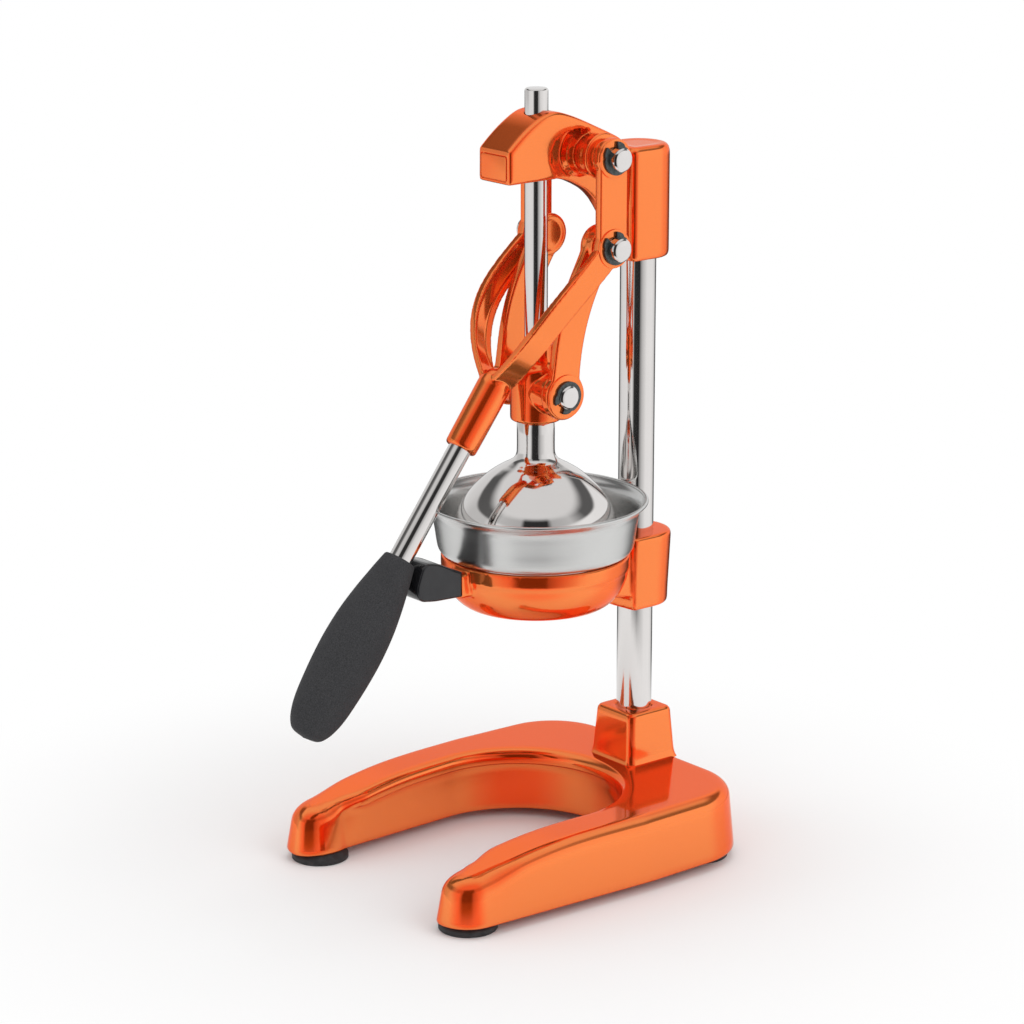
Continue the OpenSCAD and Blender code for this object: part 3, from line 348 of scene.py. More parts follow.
def grey_ramp(tree, value, stops):
    """Grey level worked out from a value between 0 and 1 by straight lines between stops."""
    node = add_node(tree, "ValToRGB", {"Fac": value})
    while len(node.color_ramp.elements) < len(stops):
        node.color_ramp.elements.new(0.5)
    for element, (place, level) in zip(node.color_ramp.elements, stops):
        element.position = place
        element.color = (level, level, level, 1)
    return node.outputs["Color"]


class Finish:
    """Small helper that lays out the nodes of one material."""

    def __init__(self, name, **sockets):
        self.material = bpy.data.materials.new(name)
        self.material.use_nodes = True
        self.tree = self.material.node_tree
        self.shader = self.tree.nodes["Principled BSDF"]
        for key, value in sockets.items():
            self.shader.inputs[key.replace("_", " ")].default_value = value
        self.place = add_node(self.tree, "TexCoord").outputs["Object"]
        self.relief = None

    def noise(self, scale, detail=3.0, stretch=(1, 1, 1), roughness=0.5):
        """Noise over the piece's own place; stretch squeezes it along an axis."""
        place = add_node(self.tree, "Mapping", {"Vector": self.place, "Scale": stretch})
        return add_node(self.tree, "TexNoise", {
            "Vector": place.outputs["Vector"], "Scale": scale, "Detail": detail,
            "Roughness": roughness}).outputs["Fac"]

    def spread(self, value, low, high):
        """Maps the middle part of a noise to a range."""
        return add_node(self.tree, "MapRange", {
            "Value": value, "From Min": 0.3, "From Max": 0.7, "To Min": low,
            "To Max": high}).outputs["Result"]

    def tint(self, value, first, second):
        """Blends two base colours by a value."""
        mix = add_node(self.tree, "Mix", {0: value, 6: (*first, 1), 7: (*second, 1)},
                       data_type="RGBA")
        self.tree.links.new(mix.outputs[2], self.shader.inputs["Base Color"])

    def roughen(self, value):
        """Takes the roughness from a value."""
        self.tree.links.new(value, self.shader.inputs["Roughness"])

    def bump(self, value, depth, strength=1.0):
        """Raises the surface by a texture value, to a depth in millimetres; several add up."""
        inputs = {"Strength": strength, "Distance": depth * MM, "Height": value}
        if self.relief:
            inputs["Normal"] = self.relief
        self.relief = add_node(self.tree, "Bump", inputs).outputs["Normal"]
        self.tree.links.new(self.relief, self.shader.inputs["Normal"])


def speckled(name, tint, rough, bumps, **sockets):
    """Finish whose colour, roughness and relief each follow a noise. tint is the noise and two
    colours, rough the noise and two roughnesses, and each bump a noise, a depth in millimetres
    and a strength; sockets are the shader's own."""
    f = Finish(name, **sockets)
    f.tint(f.spread(f.noise(*tint[0]), 0, 1), *tint[1:])
    f.roughen(f.spread(f.noise(*rough[0]), *rough[1:]))
    for noise, depth, strength in bumps:
        f.bump(f.noise(*noise), depth, strength)
    return f.material


def enamel(look):
    """Orange metallic lacquer: a bright metal under a tinted clear coat. Its colour is painted
    deep where the surface faces the eye and pale at a slant. This is a lacquer's own shift of
    colour, drawn strong enough to be a painted sheen in place of the studio's reflections. A faint
    orange peel and flakes vary its gloss."""
    f = Finish("orange_enamel", Metallic=0.82, Specular_Tint=(1.0, 0.42, 0.2, 1),
               Coat_Weight=0.35, Coat_Roughness=0.03, Coat_IOR=1.5)
    # Painted sheen: the colour goes from deep to pale as the surface slants from the eye, and back
    # a little at grazing angles, in place of reflected light.
    slant = add_node(f.tree, "LayerWeight", {"Blend": 0.5}).outputs["Facing"]
    painted_sheen = grey_ramp(f.tree, slant, [(0, 0), (0.07, 0.06), (0.17, 0.85), (0.22, 1), (0.3, 1),
                                         (0.42, 0.6), (0.6, 0.5), (1, 0.45)])
    f.tint(painted_sheen, look.enamel_deep, look.enamel_painted_sheen)
    f.roughen(f.spread(f.noise(2200, 2), look.enamel_gloss * 0.85, look.enamel_gloss * 1.15))
    f.bump(f.noise(260, 2), 0.006, 0.4)
    return f.material


def chrome(look):
    """Chrome plate: nearly a mirror, slightly warm, with fine wiping marks."""
    dull = tuple(0.96 * c for c in look.chrome)
    return speckled("chrome_plate", ((30, 2), look.chrome, dull),
                    ((900, 4, (1, 1, 0.1)), 0.045, 0.09),
                    [((1500, 2, (1, 1, 0.06)), 0.002, 0.3)], Metallic=1.0)


def sheet_steel(look):
    """Spun sheet steel: satin, with fine lines round its axis."""
    dull = tuple(0.93 * c for c in look.steel)
    return speckled("sheet_steel", ((20, 3), look.steel, dull),
                    ((30, 4, (1, 1, 60)), 0.24, 0.265),
                    [((30, 3, (1, 1, 60)), 0.001, 0.15)], Metallic=1.0)


def grip_rubber(look):
    """Charcoal rubber of the grip: matt, with a fine sandy grain and slight clouds."""
    return speckled("grip_rubber", ((1500, 4), look.grip_dark, look.grip_light),
                    ((60, 4), 0.72, 0.9),
                    [((1300, 4, (1, 1, 1), 0.65), 0.12, 0.7), ((420, 3), 0.08, 0.4)],
                    Metallic=0.0, Specular_IOR_Level=0.3)


WITH_SETTINGS = {"orange_enamel": enamel, "chrome_plate": chrome, "sheet_steel": sheet_steel,
                 "grip_rubber": grip_rubber}

WITHOUT_SETTINGS = {
    # zinc plated screws: dull, mottled steel
    "zinc_steel": dict(
        tint=((500, 4), (0.62, 0.62, 0.6), (0.45, 0.45, 0.46)), rough=((800, 4), 0.28, 0.45),
        bumps=[((2500, 3), 0.01, 0.4)], Metallic=1.0),
    # oiled dark steel of the snap rings and set screws
    "dark_steel": dict(
        tint=((700, 4), (0.05, 0.06, 0.06), (0.11, 0.12, 0.12)), rough=((1300, 3), 0.3, 0.5),
        bumps=[((2400, 3), 0.015, 0.5)], Metallic=0.85),
    # bearing bronze with turning marks
    "bearing_bronze": dict(
        tint=((300, 4), (0.6, 0.4, 0.18), (0.45, 0.29, 0.12)), rough=((900, 3), 0.25, 0.4),
        bumps=[((60, 3, (1, 1, 40)), 0.01, 0.4)], Metallic=1.0),
    # moulded rubber of the feet: black and dull, with a fine grain
    "foot_rubber": dict(
        tint=((250, 4), (0.012, 0.012, 0.013), (0.03, 0.03, 0.032)),
        rough=((900, 4), 0.5, 0.7), bumps=[((3000, 3), 0.03, 0.5)], Metallic=0.0),
    # black moulded plastic of the bumper, with a soft sheen
    "bumper_plastic": dict(
        tint=((120, 3), (0.008, 0.008, 0.01), (0.016, 0.016, 0.018)),
        rough=((700, 4), 0.12, 0.2), bumps=[((400, 3), 0.008, 0.3)], Metallic=0.0,
        Specular_IOR_Level=0.4, Coat_Weight=0.25),
}


def finish(name):
    """The material of a slot, made on its first use."""
    found = bpy.data.materials.get(name + "_look")
    if found:
        return found
    if name in WITHOUT_SETTINGS:
        made = speckled(name, **WITHOUT_SETTINGS[name])
    else:
        made = WITH_SETTINGS[name](bpy.context.scene.press_finish)
    made.name = name + "_look"
    return made


def dress(*nodes, slot):
    """Gives CAD nodes that stay shown the finish of their slot."""
    for node in nodes:
        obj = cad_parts[node]
        for entry in obj.material_slots:
            entry.material = finish(slot)


# Shapes of the pieces

def base_rings(count=300):
    """Outer and inner line of the base from the right leg's front end round the rear to the left
    leg's, each with the same number of points. The outer one is the belt round the two legs'
    front circles and the four circles of the rear, and the inner one the bay's circle with a
    straight line along each leg; each front circle joins the two."""
    circles = ((TOE_X, TOE_Y, TOE_R), (53, 10, 46), (51.6, 57, 46))
    belt = hull_outline([(side * x, y, r) for x, y, r in circles for side in (1, -1)], 4000)
    right = belt[(belt[:, 0] >= 0) & (belt[:, 1] > TOE_Y)]
    right = right[np.argsort(np.arctan2(right[:, 0], right[:, 1] + 20))]
    nub_a = np.radians(np.linspace(0, -212, 240))
    wide = np.where(np.cos(nub_a) > 0, TOE_R, 14.5)
    nub = np.stack([TOE_X + wide * np.cos(nub_a), TOE_Y + TOE_R * np.sin(nub_a)], 1)
    split = int(np.argmin(np.abs(nub_a + np.radians(95))))
    leg = np.linspace(nub[-1], (BAY_R, BAY_Y), 80)
    bay_a = np.radians(np.linspace(0, 90, 200))
    bay = np.stack([BAY_R * np.cos(bay_a), BAY_Y + BAY_R * np.sin(bay_a)], 1)
    outer = resample(np.vstack([right, nub[1:split + 1]]), count, closed=False)
    inner = resample(np.vstack([nub[split:], leg[1:], bay[1:]])[::-1], count, closed=False)
    mirror = np.array([-1.0, 1.0])
    return (np.vstack([outer[::-1], (outer * mirror)[1:]]),
            np.vstack([inner[::-1], (inner * mirror)[1:]]))


def top_of_base(y):
    """Height of the base's top at a place along Y, the mean over 20 mm of a broken line."""
    places = np.asarray(y)[..., None] + np.linspace(-10, 10, 9)
    return np.interp(places, [-140, -131, -122, -111, -95, -78, -55, -33, -15, 200],
                     [33, 33.6, 34.2, 35.2, 38.6, 42, 44.8, 45.8, BASE_TOP, BASE_TOP]).mean(-1)


def soften(line, passes):
    """Closed line whose points move to the mean of their neighbours, again and again."""
    for _ in range(passes):
        line = 0.5 * line + 0.25 * (np.roll(line, 1, 0) + np.roll(line, -1, 0))
    return line


def base_part():
    """Hollow casting. A closed line round both legs is drawn in level by level: up inside the
    hollow, round the lower rim, up the drafted side, over the rounded upper edge, and at the
    bay over its standing lip. Bands between the outer and the inner line close top and hollow.
    Each level's depth changes from the outer line's to the bay's by the blend."""
    outer, inner = base_rings()
    count = len(outer)
    line = soften(np.vstack([outer, inner[::-1]]), 6)
    blend = soften(np.r_[np.ones(count), np.zeros(count)], 60)
    run = soften(np.roll(line, -1, 0) - np.roll(line, 1, 0), 4)
    run /= np.linalg.norm(run, axis=1)[:, None]
    normal = np.stack([-run[:, 1], run[:, 0]], 1)
    height = top_of_base(line[:, 1])
    toe = np.clip((-82 - line[:, 1]) / 30, 0, 1)
    toe = toe * toe * (3 - 2 * toe)
    blend = np.maximum(blend, toe)
    rim, draft = FOOT_H + 1.2, 3
    bend = 8 + 3.5 * toe
    slope = np.arctan(draft / (height - bend - rim))
    side_top = height - bend * (1 - np.sin(slope))

    def ring(inward_out, inward_in, z):
        depth = blend * inward_out + (1 - blend) * inward_in
        plan = line + normal * depth[:, None]
        return np.column_stack([plan, np.broadcast_to(z, len(line))])

    rings = [ring(12, 9, height - 9), ring(8.5, 6.5, height - 9.6), ring(6.8, 5.2, height - 12),
             ring(6, 5, 14), ring(5.5, 5, rim), ring(4.6, 4.2, FOOT_H + 0.3),
             ring(3.6, 3.4, FOOT_H), ring(1.2, 1.2, FOOT_H), ring(0.4, 0.4, FOOT_H + 0.3),
             ring(0, 0, rim)]
    for share in np.linspace(0.12, 1, 6):
        rings.append(ring(draft * share, 0.15 * share,
                          rim + (side_top - rim) * share - (1 - blend) * 3.2 * share))
    lip = height - 9.4
    for t in np.linspace(0, 1, 9)[1:]:
        lean = slope + (math.pi / 2 - slope) * t
        out_d = draft + bend * (np.cos(slope) - np.cos(lean))
        out_z = height - bend + bend * np.sin(lean)
        if t < 0.3:
            in_d, in_z = -2.1 * t / 0.3, lip + (height - 8 - lip) * t / 0.3 * 0.5
        else:
            b = (t - 0.3) / 0.7 * math.pi / 2
            in_d, in_z = -2.3 + 6.3 * (1 - math.cos(b)), height - 6.5 + 6.5 * math.sin(b)
        bevel = ring(out_d, in_d, blend * out_z + (1 - blend) * in_z)
        bevel[:, 2] += t * (top_of_base(bevel[:, 1]) - height)
        rings.append(bevel)
    grid = np.stack(rings)
    bands = []
    for edge, level, flip in ((grid[-1], 0.0, False), (grid[0], -9.0, True)):
        first, second = edge[:count], edge[count:][::-1]
        share = np.linspace(0, 1, 13)[:, None, None]
        sheet = first[None] * (1 - share) + second[None] * share
        sheet[1:-1, :, 2] = top_of_base(sheet[1:-1, :, 1]) + level
        rows, cols = sheet.shape[:2]
        i, j = np.arange(rows - 1)[:, None], np.arange(cols - 1)[None, :]
        quads = np.stack([i * cols + j, i * cols + j + 1, (i + 1) * cols + j + 1,
                          (i + 1) * cols + j], -1).reshape(-1, 4)
        bands.append((sheet.reshape(-1, 3), (quads[:, ::-1] if flip else quads).tolist()))
    return fused(skin(grid), *bands)


def rounded_square(half, radius, count=24):
    """Square with quarter circles at its corners."""
    a = np.radians(np.linspace(0, 90, count))
    arc = np.stack([np.cos(a), np.sin(a)], 1) * radius + (half - radius)
    quarter = np.array([[0, 1], [-1, 0]])
    return np.vstack([arc, arc @ quarter, arc @ -np.eye(2), arc @ -quarter])


def pedestal_part():
    """Column pedestal: a rounded square that narrows upwards, with a hollow fillet at its foot
    and a rounded upper edge, open in the middle for the column."""
    levels = [(40.0, 18.7), (44.0, 18.7), (45.0, 20.9), (45.8, 20.5), (46.6, 20.1), (48, 19.7),
              (50, 19.4), (52, 19.2)]
    levels += [(z, 19.2 - (z - 52) * 1.6 / 23) for z in np.linspace(54, 75, 9)]
    levels += [(76.2, 17.3), (77.2, 16.7), (77.8, 15.6), (78.0, 14.4)]
    rings = []
    for z, half in levels:
        square = rounded_square(half, 5)
        square[:, 1] = np.minimum(square[:, 1], 18.7)
        rings.append(np.column_stack([square, np.full(len(square), z)]))
    a = np.arctan2(rings[0][:, 1], rings[0][:, 0])
    for r, z in ((12.2, 78.0), (11.4, 77.6), (11.15, 76.8), (11.15, 60.0)):
        rings.append(np.column_stack([r * np.cos(a), r * np.sin(a), np.full(len(a), z)]))
    return moved(skin(np.stack(rings), caps=True), y=COLUMN_Y)


def foot_part(x, y):
    """Rubber foot: a flat disc with a straight edge and a cone up to the casting, with the
    screw's recess below."""
    profile = round_corners([(2.6, FOOT_H), (14.5, FOOT_H), (17.5, 3.2), (17.5, 0.05), (6.5, 0.05),
                             (6.5, 3.6), (2.6, 3.6)], [0.1, 0.3, 0.8, 0.7, 0.4, 0.2, 0.1], 5)
    return moved(turn(profile, 96, loop=True), x, y)


def rod_part(radius, low, high, edge):
    """Round rod with rounded ends."""
    a = np.radians(np.linspace(0, 90, 7))
    top = [(radius - edge + edge * math.cos(t), high - edge + edge * math.sin(t)) for t in a]
    foot = [(radius - edge + edge * math.cos(t), low + edge - edge * math.sin(t))
            for t in a[::-1]]
    z = np.linspace(low + edge, high - edge, 12)[1:-1]
    return turn([(0, low)] + foot + [(radius, k) for k in z] + top + [(0, high)])


def d_outline(half, count=200):
    """Section of the collar and the column block: a half circle at the rear of the column and a
    straight front with rounded corners."""
    return hull_outline([(0, 0, half), (half - 4, -16, 4), (-half + 4, -16, 4)], count)


def ring_profile():
    """Section of the cup ring: a straight band, a groove, and the curved taper to its foot."""
    lower = smooth_path([(56.6, 182.6), (55.4, 177), (52.8, 170.6), (48.6, 165.2), (43.8, 161.6),
                         (39.6, RING_FOOT)], 28)
    inner = smooth_path([(39, 167), (45, 170), (49, 176.5), (51.1, 186)], 16)
    outer = [(53.5, RING_TOP), (RING_R, RING_TOP), (RING_R, 184.4), (56.6, 183.4)]
    return np.vstack([outer, lower, [(34, RING_FOOT), (34, 167)], inner, [(53.5, 191.4)]])


def cup_arm_part():
    """Cup arm: the ring, a web behind it, the collar on the column and the bumper's lug."""
    ring = turn(ring_profile(), 256, loop=True)
    front = [(54.6, 191), (53.6, 186), (52.4, 180), (50, 172), (46.6, 165.5), (43.6, 158)]
    web = across(slab(np.vstack([front, [(72, 153), (72, 190)]]), -18, 18, 3.0))
    levels = [(146.5, 3.5), (146.9, 2.6), (147.7, 2.1), (148.8, 1.95)]
    levels += [(z, 1.95 - (z - 152.2) / 20) for z in np.linspace(156, 190, 8)]
    levels += [(191.4, 0.2), (192.4, 0.7), (RING_TOP, 1.6)]
    block = stack(d_outline(22), levels, (0, COLUMN_Y))
    lug = across(slab([(-54.5, 175.5), (-64.5, 175.5), (-64.5, 190.5), (-54.5, 190.5)], -8, 8,
                      1.0))
    return fused(ring, web, block, lug)


def bumper_part():
    """Bumper block: its side view with softened corners, as a plate with rounded edges."""
    low, high = span("bumper_block")
    shares = np.array([[0, 0], [0, 0.62], [0.1, 0.66], [0.5, 0.93], [0.77, 1], [0.865, 0.9],
                       [0.905, 0.78], [1, 0.42], [0.97, 0.2], [0.88, 0.09], [0.6, 0.03]])
    side = np.column_stack([high[1] - shares[:, 0] * (high[1] - low[1]),
                            low[2] + shares[:, 1] * (high[2] - low[2])])
    side = round_corners(side, [0.8, 1.2, 3, 4, 2.2, 1.6, 2, 3, 2.5, 2.5, 4], 6)
    return across(slab(side, -high[0], high[0], 1.6, 7))


def bowl_part():
    """Bowl of one wall thickness: its outside runs from the rolled rim down to the foot, over
    the seat into the funnel and down the outlet, and its inside runs back up."""
    sheet, outlet, bead_r = 1.2, 7.0, 1.15
    lip = [(67.6, 225.2), (65.9, 222.8), (64.2, 220.9), (63.0, 218.4), (62.0, 213)]
    wall = smooth_path(lip + [(60.9, 207), (59.9, 202.6), (58.6, 199.4), (56.6, 197.2),
                              (54.2, 196.05)], 48)
    outside = smooth_path(lip + [(61, 207), (60.2, 201.4), (59.5, 197.6), (58.4, 195.2),
                                 (56.8, 193.8), (54.4, 193.2)], 48)
    funnel = [(53.05, 193.1), (53.05, 192.6), (8.2, 168.2), (8.2, 156.2), (7.8, 155.9),
              (outlet, 156.2), (outlet, 169.2), (51.8, 193.6), (51.8, 197.2)]
    step = np.gradient(wall, axis=0)
    step /= np.linalg.norm(step, axis=1)[:, None]
    inside = wall + np.stack([step[:, 1], -step[:, 0]], 1) * sheet
    profile = np.vstack([outside, funnel, inside[::-1][2:]])
    bead = circle(66.9, 224.85, bead_r, 24)
    return fused(turn(profile, 256, loop=True), turn(bead[::-1], 256, loop=True))


def bell_part():
    """Press bell: its bell curve outside, a wall behind it, and a rounded rim."""
    outside = smooth_path([(11.4, 266), (11.4, 258), (11.6, 254.4), (12.4, 252), (14.2, 249.8),
                           (17.8, 247.6), (22.6, 245), (29.4, 240.4), (37.4, 233), (43.6, 225.4),
                           (47.2, 218), (48.8, 211.8), (49.5, 207)], 110)
    top = span("press_bell")[1][2]
    rim = [(49.45, 206.4), (49.1, 206.05), (48.2, 206.05), (47.7, 206.5)]
    inside = smooth_path([(47.5, 208), (46.7, 214), (44.8, 220.8), (40.8, 227.2), (36.4, 231.6),
                          (31, 236.2), (22.5, 243.2), (14, 247), (0, 248.5)], 60)
    neck = [(0, top), (11, top), (11.4, top - 0.4)]
    return turn(np.vstack([neck, outside, rim, inside]), 256)


def top_line(count=160):
    """Upper line of the head from the nose back to the column block."""
    shares = np.array([[0, 0.49], [0.065, 0.65], [0.13, 0.79], [0.196, 0.905], [0.25, 0.975],
                       [0.304, 1], [0.365, 0.975], [0.467, 0.875], [0.605, 0.705], [0.745, 0.52],
                       [0.8, 0.4]])
    line = smooth_path(shares, count)
    return np.column_stack([NOSE_Y + line[:, 0] * 112, NOSE_Z + line[:, 1] * 40])


def head_part():
    """Head: a nose block and a cap of full width over a thin web, the column block and the pivot
    boss."""
    top = top_line()
    recess = smooth_path([(4.5, 421.2), (3.6, 425), (0.4, 430.5), (-0.6, 435), (1.6, 441.5),
                          (8, 447), (18, 449.4), (28.5, 448.2), (38, 443.6), (48, 436.5),
                          (60, 428)], 60)
    body = np.vstack([top[top[:, 0] < 60], recess[::-1], [(NOSE_Y, NOSE_Z)]])
    arch = smooth_path([(66, 370), (61.5, 377), (55.5, 385.5), (50, 393), (46, 399),
                        (41.8, 404.4), (35.2, 410.2), (25.4, 415.4), (17.6, 418.2),
                        (3.8, NOSE_Z)], 48)
    web = np.vstack([top[top[:, 0] > -2], arch])
    levels = [(HEAD_LOW, 1.6), (365.5, 0.9), (366.6, 0.25), (368, 0)]
    levels += [(z, 0.0) for z in np.linspace(374, 428, 8)]
    levels += [(430.6, 0.25), (432.4, 1.0), (433.4, 2.0), (433.9, 3.4), (HEAD_HIGH, 5.5),
               (433.6, 9)]
    block = stack(d_outline(18.5), levels, (0, COLUMN_Y))
    half = [(0, 0), (13.2, 0), (13.9, 5.2), (14.2, 6.2), (13.8, 7.4), (12.9, 8.2), (12.6, 9),
            (12.6, 15.1), (12.2, 15.5), (0, 15.5)]
    boss = across(mirror_along(half), PIVOT_Y, PIVOT_Z)
    return fused(across(slab(round_corners(body, 0.8, 3), -15, 15, 2.4)),
                 across(slab(web, -5, 5, 1.5)), block, boss)


def mirror_along(half):
    """Surface of revolution whose outline is a half outline and its mirror image."""
    back = [(r, -z) for r, z in half[:0:-1]]
    return turn(back + half[1:], 128)


def bore_x(radius, y, z, x0=-60.0, x1=60.0):
    """Cutter along X."""
    return across(turn([(0, x0), (radius, x0), (radius, x1), (0, x1)], 96), y, z)


def bore_z(radius, y, low, high):
    """Cutter along Z."""
    return moved(turn([(0, low), (radius, low), (radius, high), (0, high)], 96), y=y)


def rounded_rectangle(width, height, radius):
    """Rectangle with rounded corners about the origin."""
    return round_corners([(-width / 2, -height / 2), (width / 2, -height / 2),
                          (width / 2, height / 2), (-width / 2, height / 2)], radius, 8)


def facing_front(part, y):
    """Local Z is turned to -Y and local Y to Z, at a place along Y."""
    p = part[0]
    return np.stack([p[:, 0], y - p[:, 2], p[:, 1]], 1), part[1]


def fork_part():
    """Fork: per side a strap between two eyes, a bowed arm whose inner side is a channel, and in
    the middle the socket. The arm's place across is its first place less a power of the way
    down, and its place forwards a half wave."""
    run, thick = 101.0, 5.5
    u = np.linspace(0, 1, 90)
    x = 34.75 * (1 - u ** 3.3) + 3.3 * u
    n = 9.6 * np.sin(np.pi * u ** 1.25)
    half = (17 - 1.6 * u) / 2
    fade = np.clip((u - 0.1) / 0.1, 0, 1) * np.clip((0.93 - u) / 0.12, 0, 1)
    deep = 2.6 * fade * fade * (3 - 2 * fade)
    outside = [(1, share, 0) for share in (-1.0, -0.5, 0.0, 0.5, 1.0)]
    inside = [(-1, share, abs(share) < 0.8)
              for share in (1.0, 0.86, 0.62, 0.0, -0.62, -0.86, -1.0)]
    ring = [np.stack([x + side * thick / 2 + sunk * deep, n + share * half, run * u], -1)
            for side, share, sunk in outside + inside]
    grid = np.stack(ring, 1)
    arm = down_lever(skin(grid[:, ::-1], caps=True))
    strap_line = np.array([(-10.5, 0), (10.5, 0), (10.5, 53.4), (-10.5, 53.4)])
    strap = across(slab(strap_line + (PIVOT_Y, MIDDLE_Z), *FORK_X, 0.8))
    eyes = [across(slab(circle(0, 0, 12), *FORK_X, 0.8), PIVOT_Y, z)
            for z in (MIDDLE_Z, PIVOT_Z)]
    socket = down_lever(turn([(0, 90), (4, 90.5), (7.6, 94), (9.6, 98), (10.2, 102), (9.9, 138),
                              (9.8, 142.6), (9.3, 143.7), (8.6, 144), (0, 144)], 128))
    return fused(mirrored(fused(arm, strap, *eyes)), socket)


def grip_part():
    """Grip: a long pear whose greatest radius is at mid length, with a round lower end."""
    curve = smooth_path([(9.9, 219.4), (11.6, 226.5), (13.0, 233), (15.6, 246), (17.8, 261),
                         (18.8, 277), (18.6, 292), (17.7, 306), (16.6, 316.5), (14.9, 324.6),
                         (12.2, 331.4), (8.2, 335.8), (0.001, 337.45)], 110)
    top = [(7.1, 218.6), (8.2, 218.5), (9.3, 218.7)]
    profile = np.vstack([[(0, 222), (7.1, 222)], top, curve[:-1], [(0, 337.5)]])
    return down_lever(turn(profile, 160))


def link_part():
    """Link on the right: a plate whose centre line bows forwards by a half wave between its eyes,
    with a raised ring round the upper eye and a flat round end at the lower one."""
    lean = math.atan2(PIVOT_Y, MIDDLE_Z - LOWER_Z)
    length = math.hypot(PIVOT_Y, MIDDLE_Z - LOWER_Z)
    u = np.linspace(0, 1, 60)
    width = 20.5 + 3.5 * (2 * u - 1) ** 6
    edges = []
    for side in (1, -1):
        run, off = u * length, -7 * np.sin(np.pi * u) + side * width / 2
        edges.append(np.column_stack([PIVOT_Y - run * math.sin(lean) + off * math.cos(lean),
                                      MIDDLE_Z - run * math.cos(lean) - off * math.sin(lean)]))
    plate = across(slab(np.vstack([edges[0], edges[1][::-1]]), *LINK_X, 1.0))
    upper = across(turn([(0, 21.6), (9.6, 21.6), (10.4, 20.9), (12, 20.9), (12.7, 21.6),
                         (12.7, 24), (12, 24.6), (12, 31), (11.4, 31.6), (0, 31.6)], 128),
                   PIVOT_Y, MIDDLE_Z)
    lower = across(slab(circle(0, 0, 14.4), *LINK_X, 1.0), 0, LOWER_Z)
    return fused(plate, upper, lower)


def eye_face(radius, low, high, y, z):
    """Raised round face with a turned edge, open in the middle for a pin."""
    line = [(PIN_R + 0.06, low), (radius, low), (radius, high - 0.35), (radius - 0.1, high - 0.1),
            (radius - 0.35, high), (PIN_R + 0.06, high)]
    return across(turn(line, 128, loop=True), y, z)


def hub_part():
    """Hub: a round body with a neck above and a boss to each side."""
    z = LOWER_Z
    body = turn([(0, z - 19), (14.4, z - 19), (15.5, z - 18), (15.5, z + 12.6), (14.4, z + 14.2),
                 (11.4, z + 16.6), (10.2, z + 19), (10, z + 22), (10, z + 27), (9.4, z + 28),
                 (0, z + 28)], 128)
    boss = across(mirror_along([(0, 0), (12.5, 21), (11.9, 21.6), (0, 21.6)]), 0, z)
    return fused(body, boss)


def pin_profile(start, end, groove):
    """Half of a pin's outline: straight, a groove for the snap ring, and a chamfered end with a
    slight dome."""
    r = PIN_R
    return [(r, start), (r, groove), (r - 1, groove + 0.02), (r - 1, groove + RING_T),
            (r, groove + RING_T + 0.02), (r, end - 1.5), (r - 0.15, end - 1.3),
            (r - 0.95, end - 0.55), (r - 1.25, end - 0.4), (r * 0.6, end - 0.14),
            (r * 0.3, end - 0.03), (0, end)]


def snap_ring_part(x, angle, y, z):
    """Snap ring: an open band whose ends swell into two lugs, as a plate with soft edges. Seen
    along the pin, the radius of its outside grows towards the opening."""
    gap = math.radians(22)
    a = np.linspace(gap, 2 * np.pi - gap, 140)
    from_gap = np.minimum(a - gap, 2 * np.pi - gap - a)
    swell = np.clip(1 - from_gap / math.radians(34), 0, 1)
    notch = np.clip(1 - np.abs(from_gap - math.radians(42)) / math.radians(8), 0, 1)
    r_out = 9.2 + 1.3 * np.sqrt(swell) - 0.5 * notch + 0.4 * (1 - np.cos(a)) / 2
    outer = np.stack([r_out * np.cos(a), r_out * np.sin(a)], 1)
    inner = np.stack([6.06 * np.cos(a), 6.06 * np.sin(a)], 1)[::-1]
    t = math.radians(angle)
    plan = np.vstack([outer, inner]) @ np.array([[math.cos(t), math.sin(t)],
                                                 [-math.sin(t), math.cos(t)]])
    return across(slab(plan, x, x + RING_T, 0.25, 3), y, z)


def pins_and_rings(names, nodes, body, lengths, groove, turned, y, z):
    """Both plated ends of a pin and the snap rings in their grooves. The lengths say where along
    X the solid end starts, where its outline goes on and where it ends."""
    start, onward, end = lengths
    pin = turn([(0, start), (PIN_R, start)] + pin_profile(onward, end, groove), 96)
    crisp(names[0], mirrored(across(pin, y, z)), body, "chrome_plate", [nodes[0]], 20)
    rings = mirrored(snap_ring_part(groove, turned, y, z))
    crisp(names[1], rings, body, "dark_steel", [nodes[1]])


def spacer_part():
    """Distance piece: a sleeve with two round ridges."""
    x0, x1 = 15.5, float(span("pivot_spacers")[1][0])
    line = [(SLEEVE_R, x0), (12.3, x0), (12.7, x0 + 0.4), (12.6, (x0 + x1) / 2),
            (12.6, x1 - 3.2), (12.9, x1 - 2.6), (13.6, x1 - 1.9), (13.8, x1 - 1.1),
            (13.5, x1 - 0.3), (13.0, x1), (SLEEVE_R, x1)]
    return across(turn(line, 128, loop=True), PIVOT_Y, PIVOT_Z)


def washer_part():
    """Plain washer beside the fork."""
    x1 = float(span("pivot_washers")[1][0])
    x0 = x1 - 4
    line = round_corners([(SLEEVE_R, x0), (10.8, x0), (10.8, x1), (SLEEVE_R, x1)], 0.4, 4)
    return across(turn(line, 128, loop=True), PIVOT_Y, PIVOT_Z)


# Settings

def colour(label, description, default):
    """Property of a colour."""
    return bpy.props.FloatVectorProperty(name=label, description=description, default=default,
                                         subtype="COLOR", size=3, min=0.0, max=1.0)


